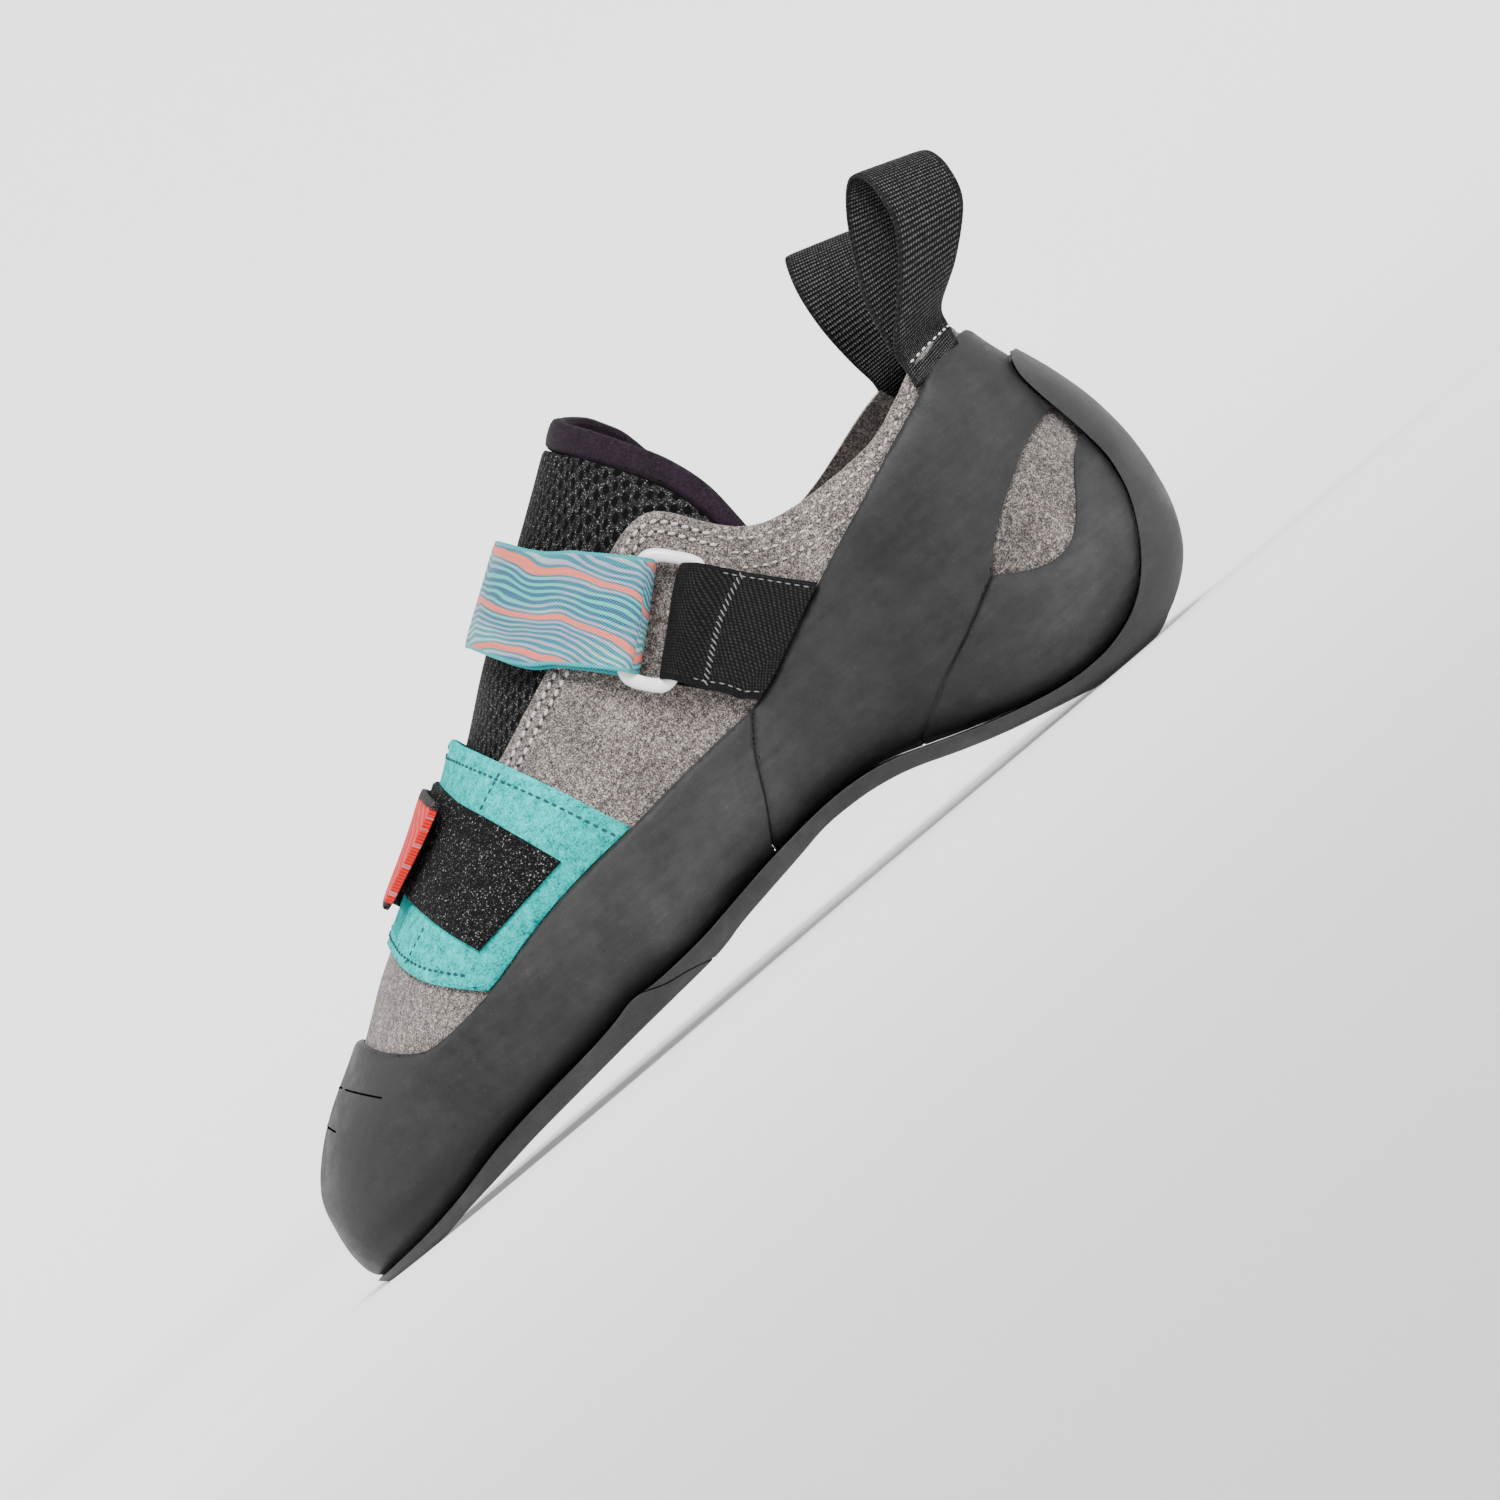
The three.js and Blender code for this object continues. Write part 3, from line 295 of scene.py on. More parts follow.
LINES = {
    "sole": smooth_line(SOLE_LINE, 3),
    "bottom": smooth_line(SOLE_BOTTOM, 3),
    "joint": smooth_line(SOLE_JOINT),
    "rand_top": smooth_line(RAND_TOP),
    "side_seam": smooth_line(SIDE_SEAM),
    "sling_top": smooth_line(SLING_TOP),
    "heel_seam": smooth_line(HEEL_SEAM),
    "window_low": smooth_line(WINDOW_LOW),
    "window_high": smooth_line(WINDOW_HIGH),
    "collar_outer": smooth_line(THROAT + COLLAR_OUTER, 4),
    "collar_inner": smooth_line(THROAT + COLLAR_INNER, 4),
    "panel_front": smooth_line(PANEL_FRONT),
    "panel_back": smooth_line(PANEL_BACK),
    "patch_front": smooth_line(PATCH_FRONT),
    "patch_back": smooth_line(PATCH_BACK),
    "tongue_low": smooth_line(TONGUE_LOW),
    "tongue_rim": smooth_line(TONGUE_RIM),
    "binding": smooth_line(BINDING_LINE),
}
LINES["sling_low"] = np.vstack([LINES["heel_seam"], LINES["window_high"][1:]])
LINES["heel_top"] = np.vstack([LINES["heel_seam"], LINES["window_low"][1:]])


# The last as a surface: s runs over the sections, a is 0 on the ridge and 1 under the foot,
# below zero on the outer side
def skin_point(s, a):
    s, a = np.broadcast_arrays(np.asarray(s, float), np.asarray(a, float))
    a = (a + 1) % 2 - 1
    row = spline(SECTIONS, s)
    low, low_up, ridge, ridge_up, axis, half, belly, crest, keel, dome = np.moveaxis(row, -1, 0)[:10]
    way = np.abs(a)
    angle = np.pi * np.abs(0.5 - way)
    power = np.where(way < 0.5, dome, keel)
    across, rise = np.abs(np.cos(angle)), np.sin(angle)
    reach = (across**power + rise**power) ** (-1 / power)
    up = np.where(way < 0.5, belly + (1 - belly) * rise * reach, belly * (1 - rise * reach))
    shift = np.where(way < 0.5, (crest - axis) * (rise * reach) ** 1.5, 0)
    foot_x, foot_z = low * LENGTH, low_up * tall(low)
    ridge_x, ridge_z = ridge * LENGTH, ridge_up * tall(ridge)
    out = (axis + shift) * BALL_WIDTH + np.sign(a) * half * broad(low) * across * reach
    return np.stack([mix(foot_x, ridge_x, up), out, mix(foot_z, ridge_z, up)], axis=-1)


def skin_ways(s, a):
    """How the surface runs at a place: along the sections, around them, and outwards."""
    inside = np.clip(s, 0.02, LAST_ROW - 0.02)
    along = (skin_point(inside + 0.02, a) - skin_point(inside - 0.02, a)) / 0.04
    around = (skin_point(inside, a + 0.004) - skin_point(inside, a - 0.004)) / 0.008
    out = np.cross(along, around)
    return along, around, out / np.maximum(np.linalg.norm(out, axis=-1, keepdims=True), 1e-9)


def skin(s, a, offset=0.0):
    return skin_point(s, a) + skin_ways(s, a)[2] * np.asarray(offset, float)[..., None]


def walk(s, a, step):
    """The place a small step away over the surface."""
    along, around, _ = skin_ways(s, a)
    aa, bb = (along * along).sum(-1), (around * around).sum(-1)
    ab = (along * around).sum(-1)
    p, q = (along * step).sum(-1), (around * step).sum(-1)
    area = np.maximum(aa * bb - ab * ab, 1e-9)
    return s + (p * bb - q * ab) / area, a + (q * aa - p * ab) / area


def settle(points, s, a):
    """The places whose surface lies under these points, from places near them."""
    for _ in range(3):
        s, a = walk(s, a, points - skin_point(s, a))
        s = np.clip(s, 0, LAST_ROW)
    return s, a


def locate(points, side):
    """The places of side view points on one side of the shoe."""
    count = len(points)
    s, a = np.full(count, LAST_ROW / 2), np.full(count, 0.35)
    reach_s, reach_a = LAST_ROW / 2, 0.35
    grid_s, grid_a = np.meshgrid(np.linspace(-1, 1, 13), np.linspace(-1, 1, 13))
    for _ in range(13):
        try_s = np.clip(s[:, None] + reach_s * grid_s.ravel(), 0, LAST_ROW)
        try_a = np.clip(a[:, None] + reach_a * grid_a.ravel(), 0, 0.8)
        found = skin_point(try_s, side * try_a)
        miss = np.hypot(found[..., 0] - points[:, :1], found[..., 2] - points[:, 1:])
        best = miss.argmin(axis=1)
        s, a = try_s[np.arange(count), best], try_a[np.arange(count), best]
        reach_s, reach_a = reach_s * 0.5, reach_a * 0.5
    return s, side * a


# Meshes with a place along and across for each vertex
def blank(rows, columns):
    """A flat grid whose layers hold each vertex's place along and across, from 0 to 1."""
    bm = bmesh.new()
    bmesh.ops.create_grid(bm, x_segments=rows, y_segments=columns, size=0.5)
    layers = {name: bm.verts.layers.float.new(name) for name in ("along", "across", "side", "inner", "edge")}
    for vert in bm.verts:
        vert[layers["along"]] = vert.co.x + 0.5
        vert[layers["across"]] = vert.co.y + 0.5
    return bm


def read(bm, name):
    layer = bm.verts.layers.float[name]
    return np.array([vert[layer] for vert in bm.verts])


def write(bm, name, values):
    layer = bm.verts.layers.float[name]
    for vert, value in zip(bm.verts, values):
        vert[layer] = value


def points_of(bm):
    return np.array([vert.co for vert in bm.verts])


def move(bm, points):
    for vert, point in zip(bm.verts, points):
        vert.co = point


def slide(bm, vert, other, share):
    """Moves a vertex along an edge to a share of it, with its place."""
    for name in ("along", "across"):
        layer = bm.verts.layers.float[name]
        vert[layer] = mix(vert[layer], other[layer], share)
    vert.co = vert.co.lerp(other.co, share)


def trim(bm, values):
    """Cuts the mesh where the values change sign, and drops the side below zero."""
    side = bm.verts.layers.float["side"]
    write(bm, "side", np.where(np.abs(values) < 1e-4, 1e-4, values))
    snaps = {}
    for edge in bm.edges:
        first, second = edge.verts
        if first[side] * second[side] < 0:
            share = first[side] / (first[side] - second[side])
            if share < 0.22:
                snaps[first] = (second, share)
            elif share > 0.78:
                snaps[second] = (first, 1 - share)
    for vert, (other, share) in snaps.items():
        slide(bm, vert, other, share)
        vert[side] = 0
    for edge in [e for e in bm.edges if e.verts[0][side] * e.verts[1][side] < 0]:
        first, second = edge.verts
        share = first[side] / (first[side] - second[side])
        places = [
            (layer, mix(first[layer], second[layer], share))
            for layer in (bm.verts.layers.float["along"], bm.verts.layers.float["across"])
        ]
        spot = first.co.lerp(second.co, share)
        _, vert = bmesh.utils.edge_split(edge, first, share)
        vert.co = spot
        vert[side] = 0
        for layer, value in places:
            vert[layer] = value
    mixed = [
        face
        for face in bm.faces
        if min(v[side] for v in face.verts) < 0 < max(v[side] for v in face.verts)
    ]
    for face in mixed:
        cuts = [v for v in face.verts if v[side] == 0]
        if len(cuts) >= 2 and not any(set(e.verts) == {cuts[0], cuts[1]} for e in face.edges):
            bmesh.utils.face_split(face, cuts[0], cuts[1])
    bmesh.ops.delete(bm, geom=[v for v in bm.verts if v[side] < 0], context="VERTS")
    loose = [v for v in bm.verts if not v.link_faces]
    bmesh.ops.delete(bm, geom=loose, context="VERTS")


def face_outwards(bm):
    if bm.calc_volume(signed=True) < 0:
        bmesh.ops.reverse_faces(bm, faces=bm.faces[:])


def thicken(bm):
    """Gives the sheet a second side; the new vertices are marked as inner."""
    marked = bm.verts.layers.float["inner"]
    outer = set(bm.verts)
    bmesh.ops.solidify(bm, geom=bm.faces[:], thickness=0.2)
    for vert in bm.verts:
        vert[marked] = 0 if vert in outer else 1


def make_piece(name, bm, finishes, nodes, lay=None, sharp=35, painted_light_strokes=()):
    """Turns a mesh in millimetres into a shown piece that stands for its solid."""
    inner = bm.verts.layers.float.get("inner")
    if inner is not None and len(finishes) > 1:
        for face in bm.faces:
            face.material_index = int(all(v[inner] > 0.5 for v in face.verts))
    for face in bm.faces:
        face.smooth = True
    mesh = bpy.data.meshes.new(name)
    points = points_of(bm)
    if lay is not None:
        lay = lay(read(bm, "along"), read(bm, "across"))
    bm.to_mesh(mesh)
    bm.free()
    mesh.vertices.foreach_set("co", ((points - MIDDLE) / 1000).astype(np.float32).ravel())
    if lay is not None:
        corners = np.zeros(len(mesh.loops), int)
        mesh.loops.foreach_get("vertex_index", corners)
        mesh.uv_layers.new(name="lay")
        mesh.uv_layers["lay"].data.foreach_set("uv", lay[corners].astype(np.float32).ravel())
    # The tone attribute holds painted light and shade: side view strokes that lighten and darken the colour.
    if painted_light_strokes:
        tone_and_painted_light = -hollows(points, painted_light_strokes)
        mesh.attributes.new("tone_and_painted_light", "FLOAT", "POINT").data.foreach_set("value", tone_and_painted_light.astype(np.float32))
    mesh.set_sharp_from_angle(angle=math.radians(sharp))
    mesh.update()
    piece = bpy.data.objects.new(name, mesh)
    bpy.context.scene.collection.objects.link(piece)
    for finish in finishes:
        mesh.materials.append(finish)
    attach(piece, "root")
    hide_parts(*nodes)
    return piece


def soften_rims(piece, width):
    """Rounds the sharp rims of a piece."""
    rims = piece.modifiers.new("rims", "BEVEL")
    rims.width = width / 1000
    rims.segments = 2
    rims.limit_method = "ANGLE"
    rims.angle_limit = math.radians(40)
    return piece


def skin_sheet(s_span, a_span, rows, columns, level, cuts, rim=0.6, blunt=()):
    """A sheet on the last between trimming lines, with an even row of faces along its edge.

    The blunt cuts trim it too, but their edges keep the whole wall."""
    bm = blank(rows, columns)
    write(bm, "along", mix(*s_span, read(bm, "along")))
    write(bm, "across", mix(*a_span, read(bm, "across")))
    move(bm, skin(read(bm, "along"), read(bm, "across"), level))
    tip = [v for v in bm.verts if v[bm.verts.layers.float["along"]] < 1e-6]
    if tip:
        bmesh.ops.pointmerge(bm, verts=tip, merge_co=tip[0].co)
    for cut in [*blunt, *cuts]:
        trim(bm, cut(points_of(bm), read(bm, "along"), read(bm, "across")))
    bmesh.ops.remove_doubles(bm, verts=bm.verts, dist=0.02)
    bmesh.ops.inset_region(
        bm, faces=bm.faces[:], thickness=rim, depth=0, use_boundary=True, use_even_offset=True
    )
    points = points_of(bm)
    s, a = settle(points, read(bm, "along"), read(bm, "across"))
    write(bm, "along", s)
    write(bm, "across", a)
    edge = np.full(len(points), 50.0)
    for cut in cuts:
        edge = np.minimum(edge, np.abs(cut(points, s, a)))
    write(bm, "edge", edge)
    return bm


def rounded(edge, reach, least):
    """How much of its wall a sheet has near its edge, from least on the edge to 1."""
    share = 1 - np.clip(edge / reach, 0, 1)
    return least + (1 - least) * np.sqrt(1 - share * share)


def wall(bm, outer, inner):
    """Places the two sides of a sheet at their heights over the last."""
    thicken(bm)
    s, a, edge, side = (read(bm, name) for name in ("along", "across", "edge", "inner"))
    flat = skin_point(s, a)
    height = np.where(side > 0.5, inner(flat, edge), outer(flat, edge))
    move(bm, skin(s, a, height))
    face_outwards(bm)


def above(name, margin=0.0):
    return lambda points, s, a: signed(points, LINES[name]) - margin


def below(name, margin=0.0):
    return lambda points, s, a: -signed(points, LINES[name]) - margin


def stroke(points, path, width, depth, side):
    """A soft trough along a side view path, on the outer side for -1 and the inner for 1; the same shape also
    makes the bands of painted light and shade.
    """
    far = nearest(points[:, [0, 2]], np.array(path, float), stretched=False)[0]
    return -depth * bell(far, width) * ease(side * points[:, 1], 0, 8)


def hollows(points, strokes):
    return sum(stroke(points, *row) for row in strokes)


# Finishes
class Finish:
    """A material whose nodes are added one by one."""

    def __init__(self, name, **sockets):
        self.material = bpy.data.materials.new(name)
        self.material.use_nodes = True
        self.tree = self.material.node_tree
        self.shader = self.tree.nodes["Principled BSDF"]
        for key, value in sockets.items():
            self.shader.inputs[key.replace("_", " ")].default_value = value
        self.place = self.add("TexCoord").outputs["Object"]
        self.lay = self.add("UVMap", uv_map="lay").outputs["UV"]
        # The tone attribute: painted light and shade from side view strokes.
        self.tone_and_painted_light = self.add("Attribute", attribute_name="tone_and_painted_light").outputs["Fac"]

    def add(self, kind, inputs=(), **settings):
        node = self.tree.nodes.new("ShaderNode" + kind)
        for key, value in settings.items():
            setattr(node, key, value)
        for key, value in dict(inputs).items():
            self.feed(node.inputs[key], value)
        return node

    def feed(self, socket, value):
        if isinstance(value, bpy.types.NodeSocket):
            self.tree.links.new(value, socket)
        else:
            socket.default_value = value

    def noise(self, scale, detail=2.0, rough=0.5, at=None, warp=0.0):
        inputs = {
            "Vector": at or self.place, "Scale": scale, "Detail": detail,
            "Roughness": rough, "Distortion": warp,
        }
        return self.add("TexNoise", inputs).outputs[0]

    def cells(self, scale, at=None, feature="F1"):
        inputs = {"Vector": at or self.place, "Scale": scale}
        return self.add("TexVoronoi", inputs, feature=feature).outputs["Distance"]

    def math(self, operation, first, second=0.0):
        return self.add("Math", {0: first, 1: second}, operation=operation).outputs[0]

    def smooth(self, value, low, high, start=0.0, end=1.0):
        inputs = {0: value, 1: low, 2: high, 3: start, 4: end}
        return self.add("MapRange", inputs, interpolation_type="SMOOTHSTEP").outputs[0]

    def ramp(self, value, stops):
        node = self.add("ValToRGB", {0: value})
        line = node.color_ramp
        while len(line.elements) < len(stops):
            line.elements.new(0.5)
        for element, (position, colour) in zip(line.elements, stops):
            element.position = position
            element.color = (*colour, 1)
        return node.outputs[0]

    def blend(self, share, first, second, mode="MIX"):
        node = self.add("Mix", data_type="RGBA", blend_type=mode)
        for index, value in ((0, share), (6, first), (7, second)):
            if isinstance(value, tuple):
                value = (*value, 1)
            self.feed(node.inputs[index], value)
        return node.outputs[2]

    def parts(self, vector):
        return self.add("SeparateXYZ", {0: vector}).outputs

    def stretch(self, vector, x, y, z=1.0):
        return self.add("Mapping", {0: vector, 3: (x, y, z)}).outputs[0]

    def wave(self, value, pitch):
        return self.math("SINE", self.math("MULTIPLY", value, 2 * math.pi / pitch))

    def total(self, *terms):
        """The sum of values, each with its weight."""
        added = self.math("MULTIPLY", *terms[0])
        for value, weight in terms[1:]:
            added = self.math("ADD", added, self.math("MULTIPLY", value, weight))
        return added

    def colour(self, value):
        # Multiplies the colour by one plus the painted light and shade of the tone attribute.
        lift = self.math("ADD", self.tone_and_painted_light, 1.0)
        self.feed(self.shader.inputs["Base Color"], self.blend(1.0, value, lift, "MULTIPLY"))

    def rough(self, value):
        self.feed(self.shader.inputs["Roughness"], value)

    def bump(self, height, distance, strength=1.0, under=None):
        inputs = {"Height": height, "Distance": distance, "Strength": strength}
        if under is not None:
            inputs["Normal"] = under
        normal = self.add("Bump", inputs).outputs[0]
        self.feed(self.shader.inputs["Normal"], normal)
        return normal


def grey(value):
    return (value, value, value)


def shade_between(dark, light, share):
    return tuple(mix(low, high, share) for low, high in zip(dark, light))


def grey_suede(name, tint=(1, 1, 1)):
    finish = Finish(name, Roughness=0.95, Specular_IOR_Level=0.2, Sheen_Weight=0.15, Sheen_Roughness=0.6)
    grain = finish.noise(3000, 3, 0.75)
    nap = finish.noise(900, 3, 0.6)
    tone_and_painted_light = finish.noise(70, 2, 0.5)
    mottle = finish.total((grain, 0.74), (nap, 0.26))
    colour = finish.ramp(
        mottle,
        [(0.40, (0.017, 0.014, 0.013)), (0.46, (0.072, 0.061, 0.056)),
         (0.53, (0.185, 0.161, 0.151)), (0.61, (0.56, 0.51, 0.485))],
    )
    colour = finish.blend(1.0, colour, tint, "MULTIPLY")
    shade = finish.ramp(tone_and_painted_light, [(0.35, (0.78, 0.76, 0.76)), (0.65, (1.1, 1.07, 1.05))])
    finish.colour(finish.blend(1.0, colour, shade, "MULTIPLY"))
    under = finish.bump(nap, 0.0006, 0.7)
    finish.bump(grain, 0.00035, 1.0, under)
    return finish.material


def turquoise_suede():
    finish = Finish("turquoise_microsuede", Roughness=0.9, Specular_IOR_Level=0.06)
    grain = finish.noise(2400, 3, 0.65)
    nap = finish.noise(520, 3, 0.6)
    both = finish.total((grain, 0.6), (nap, 0.4))
    colour = finish.ramp(
        both,
        [(0.36, (0.0, 0.13, 0.135)), (0.46, (0.0, 0.34, 0.325)), (0.54, (0.0, 0.50, 0.47)),
         (0.66, (0.02, 0.70, 0.64))],
    )
    finish.colour(colour)
    under = finish.bump(nap, 0.0005, 0.5)
    finish.bump(grain, 0.00025, 0.7, under)
    return finish.material


def rubber(name, dark, light):
    """Dull rubber with rubbed, dusty patches and fine grinding marks."""
    finish = Finish(name, Roughness=0.6, Specular_IOR_Level=0.16)
    dust = finish.noise(34, 5, 0.6, warp=0.6)
    mottle = finish.noise(240, 4, 0.7)
    grain = finish.noise(2600, 2, 0.6)
    dents = finish.noise(26, 2, 0.4)
    streaks = finish.noise(80, 4, 0.75, at=finish.stretch(finish.place, 1, 1, 7))
    both = finish.total((dust, 0.5), (mottle, 0.28), (streaks, 0.22))
    middle = shade_between(dark, light, 0.4)
    colour = finish.ramp(both, [(0.38, dark), (0.51, middle), (0.64, light)])
    speck = finish.smooth(grain, 0.64, 0.78, 0.0, 0.35)
    colour = finish.blend(speck, colour, grey(0.10))
    finish.colour(colour)
    finish.rough(finish.smooth(both, 0.34, 0.66, 0.42, 0.72))
    under = finish.bump(dents, 0.0015, 0.35)
    under = finish.bump(mottle, 0.0004, 0.3, under)
    finish.bump(grain, 0.0001, 0.5, under)
    return finish.material


def black_pile(name):
    """Curled black loops with painted glints: bright points in the colour where the loops would catch the
    light.
    """
    finish = Finish(name, Roughness=0.85, Specular_IOR_Level=0.15)
    fibre = finish.noise(2600, 2, 0.8)
    loops = finish.cells(1900)
    tuft = finish.noise(600, 3, 0.7)
    glint = finish.total((fibre, 0.85), (tuft, 0.15))
    colour = finish.ramp(
        glint,
        [(0.46, (0.0008, 0.0008, 0.0009)), (0.56, grey(0.008)),
         (0.62, grey(0.16)), (0.68, grey(0.75))],
    )
    # Near-black towards the edges of the loop cells: painted shade between the loops.
    finish.colour(finish.blend(finish.smooth(loops, 0.25, 0.7, 0.0, 0.9), colour, grey(0.001)))
    under = finish.bump(tuft, 0.0009, 0.8)
    finish.bump(fibre, 0.0006, 1.0, under)
    return finish.material


def open_mesh():
    """Spacer mesh: staggered rounded holes between bundles of black yarn; the yarn's shine is painted as
    bright specks, and the holes are painted near-black as their shade.
    """
    finish = Finish("black_open_mesh", Roughness=0.7, Specular_IOR_Level=0.1)
    u, v, _ = finish.parts(finish.lay)
    wobble = finish.math("MULTIPLY", finish.noise(0.25, 2, 0.5, at=finish.lay), 1.6)
    across = finish.wave(finish.math("ADD", u, wobble), 3.3)
    along = finish.wave(finish.math("SUBTRACT", v, wobble), 5.2)
    first = finish.math("MULTIPLY", across, along)
    holes = finish.smooth(first, 0.1, 0.4)
    yarn = finish.noise(2.6, 3, 0.8, at=finish.stretch(finish.lay, 1.6, 0.7))
    speck = finish.noise(2800, 2, 0.75)
    # Bright specks in the yarn's colour: painted glints.
    thread = finish.ramp(
        finish.total((speck, 0.7), (yarn, 0.3)),
        [(0.43, grey(0.003)), (0.53, (0.015, 0.015, 0.0155)),
         (0.60, grey(0.09)), (0.66, grey(0.6))],
    )
    # The holes are painted near-black: painted shade in place of open holes.
    finish.colour(finish.blend(holes, thread, grey(0.0004)))
    height = finish.total((yarn, 0.5), (holes, -1.0))
    under = finish.bump(height, 0.001, 1.0)
    finish.bump(speck, 0.0003, 0.7, under)
    return finish.material


def soft_knit(name, dark, light, sheen=0.3):
    finish = Finish(name, Roughness=0.9, Specular_IOR_Level=0.2, Sheen_Weight=sheen, Sheen_Roughness=0.5)
    grain = finish.noise(1700, 2, 0.7)
    tone_and_painted_light = finish.noise(260, 3, 0.6)
    both = finish.total((grain, 0.7), (tone_and_painted_light, 0.3))
    finish.colour(finish.ramp(both, [(0.38, dark), (0.62, light)]))
    under = finish.bump(tone_and_painted_light, 0.0004, 0.4)
    finish.bump(grain, 0.00025, 0.7, under)
    return finish.material


def webbing_weave(name, dark, light, pitch, lean, picks_pitch, width):
    """Black webbing whose ribs run slanting across it; u is across and v along, in millimetres."""
    finish = Finish(name, Roughness=0.6, Specular_IOR_Level=0.12)
    u, v, _ = finish.parts(finish.lay)
    ribs = finish.wave(finish.total((u, lean), (v, 1.0)), pitch)
    picks = finish.wave(u, picks_pitch)
    wear = finish.noise(1900, 2, 0.7)
    height = finish.total((ribs, 0.3), (picks, 0.2))
    off_middle = finish.math("ABSOLUTE", finish.math("SUBTRACT", u, width / 2))
    selvedge = finish.smooth(off_middle, width / 2 - 1.2, width / 2 - 0.8)
    height = finish.math("MULTIPLY", height, finish.smooth(selvedge, 0, 1, 1.0, 0.4))
    # The colour is lighter on the raised ribs and picks: a painted highlight, broken up by noise.
    shine = finish.smooth(finish.math("ADD", height, wear), 0.35, 1.0)
    middle = shade_between(dark, light, 0.2)
    finish.colour(finish.ramp(shine, [(0.0, dark), (0.6, middle), (1.0, light)]))
    finish.bump(height, 0.0003, 0.9)
    return finish.material


def wave_print():
    """A print of thin wavy stripes with two coral ones; u is across the strap, v along it."""
    finish = Finish("wave_printed_elastic", Roughness=0.55, Specular_IOR_Level=0.4)
    u, v, _ = finish.parts(finish.lay)
    drift = finish.noise(0.055, 2, 0.5, at=finish.stretch(finish.lay, 1, 0.7))
    place = finish.total((u, 1.0), (finish.wave(v, 52.0), 2.2), (drift, 11.0), (v, -0.16))
    wide = finish.wave(place, 1.5)
    fade = finish.noise(0.1, 2, 0.5, at=finish.stretch(finish.lay, 1, 0.5))
    pale = finish.ramp(
        fade, [(0.38, (0.05, 0.50, 0.44)), (0.5, (0.34, 0.30, 0.44)), (0.62, (0.34, 0.54, 0.50))]
    )
    deep = finish.ramp(fade, [(0.38, (0.0, 0.10, 0.19)), (0.62, (0.0, 0.24, 0.29))])
    stripes = finish.blend(finish.smooth(wide, -0.55, 0.15), pale, deep)
    coral = finish.wave(place, 10.5)
    colour = finish.blend(finish.smooth(coral, 0.87, 0.94), stripes, (0.80, 0.15, 0.10))
    rim = finish.smooth(finish.math("ABSOLUTE", finish.math("SUBTRACT", u, 12.5)), 11.6, 12.0)
    colour = finish.blend(rim, colour, (0.0, 0.34, 0.38))
    knit = finish.math("MULTIPLY", finish.wave(u, 0.62), finish.wave(v, 0.62))
    cords = finish.wave(u, 1.24)
    # Darker in the knit's valleys and pale on its tops: painted shade and painted highlights.
    shade = finish.ramp(finish.smooth(knit, -1, 1), [(0.1, grey(0.66)), (0.7, grey(1.12))])
    colour = finish.blend(1.0, colour, shade, "MULTIPLY")
    finish.colour(finish.blend(finish.smooth(knit, 0.45, 1, 0.0, 0.3), colour, (0.75, 0.78, 0.62)))
    finish.bump(finish.total((knit, 0.6), (cords, 0.4)), 0.00025, 0.8)
    return finish.material


def coral_print(length):
    """Coral cloth with pale slanting lines, in a dark fuzzy border; u is across, v along."""
    finish = Finish("coral_lining_print", Roughness=0.7, Specular_IOR_Level=0.1)
    u, v, _ = finish.parts(finish.lay)
    bend = finish.noise(0.1, 2, 0.5, at=finish.lay)
    lines = finish.wave(finish.total((v, 1.0), (u, 0.8), (bend, 8.0)), 3.1)
    colour = finish.blend(finish.smooth(lines, 0.8, 0.95), (0.60, 0.012, 0.010), (0.50, 0.16, 0.19))
    knit = finish.math("MULTIPLY", finish.wave(u, 0.7), finish.wave(v, 0.7))
    # Lighter coral on the knit's raised tops: a painted highlight.
    colour = finish.blend(finish.smooth(knit, -1, 1, 0.0, 0.12), colour, (0.8, 0.15, 0.12))
    ragged = finish.math("MULTIPLY", finish.noise(1.1, 3, 0.7, at=finish.lay), 1.6)
    side = finish.math("ABSOLUTE", finish.math("SUBTRACT", u, 12.0))
    at_sides = finish.smooth(finish.math("ADD", side, ragged), 10.9, 11.5)
    from_ridge = finish.math("ABSOLUTE", finish.math("SUBTRACT", v, length - 21.5))
    at_ridge = finish.smooth(finish.math("ADD", from_ridge, ragged), 2.8, 2.2)
    border = finish.math("MAXIMUM", at_sides, at_ridge)
    speck = finish.noise(2600, 2, 0.8)
    fuzz = finish.ramp(speck, [(0.48, grey(0.004)), (0.62, (0.10, 0.085, 0.085))])
    finish.colour(finish.blend(border, colour, fuzz))
    finish.bump(knit, 0.0002, 0.5)
    return finish.material


def ring_plastic():
    finish = Finish(
        "white_ring_plastic", Roughness=0.28, Specular_IOR_Level=0.5, Coat_Weight=0.3, Coat_Roughness=0.15
    )
    wear = finish.noise(300, 3, 0.6)
    finish.colour(finish.ramp(wear, [(0.4, (0.78, 0.78, 0.77)), (0.6, (0.86, 0.86, 0.85))]))
    finish.bump(wear, 0.00005, 0.3)
    return finish.material


def thread(name, colour):
    finish = Finish(name, Roughness=0.6, Specular_IOR_Level=0.4)
    twist = finish.noise(3500, 2, 0.7)
    finish.colour(finish.ramp(twist, [(0.35, tuple(c * 0.55 for c in colour)), (0.6, colour)]))
    finish.bump(twist, 0.0001, 0.6)
    return finish.material


# Black slivers along the toe rubber's slits: painted shadow inside the slits.
def slit_painted_shadow():
    finish = Finish("slit_painted_shadow", Roughness=1.0, Specular_IOR_Level=0.0)
    finish.colour(grey(0.0008))
    return finish.material


SUEDE = grey_suede("warm_grey_suede")
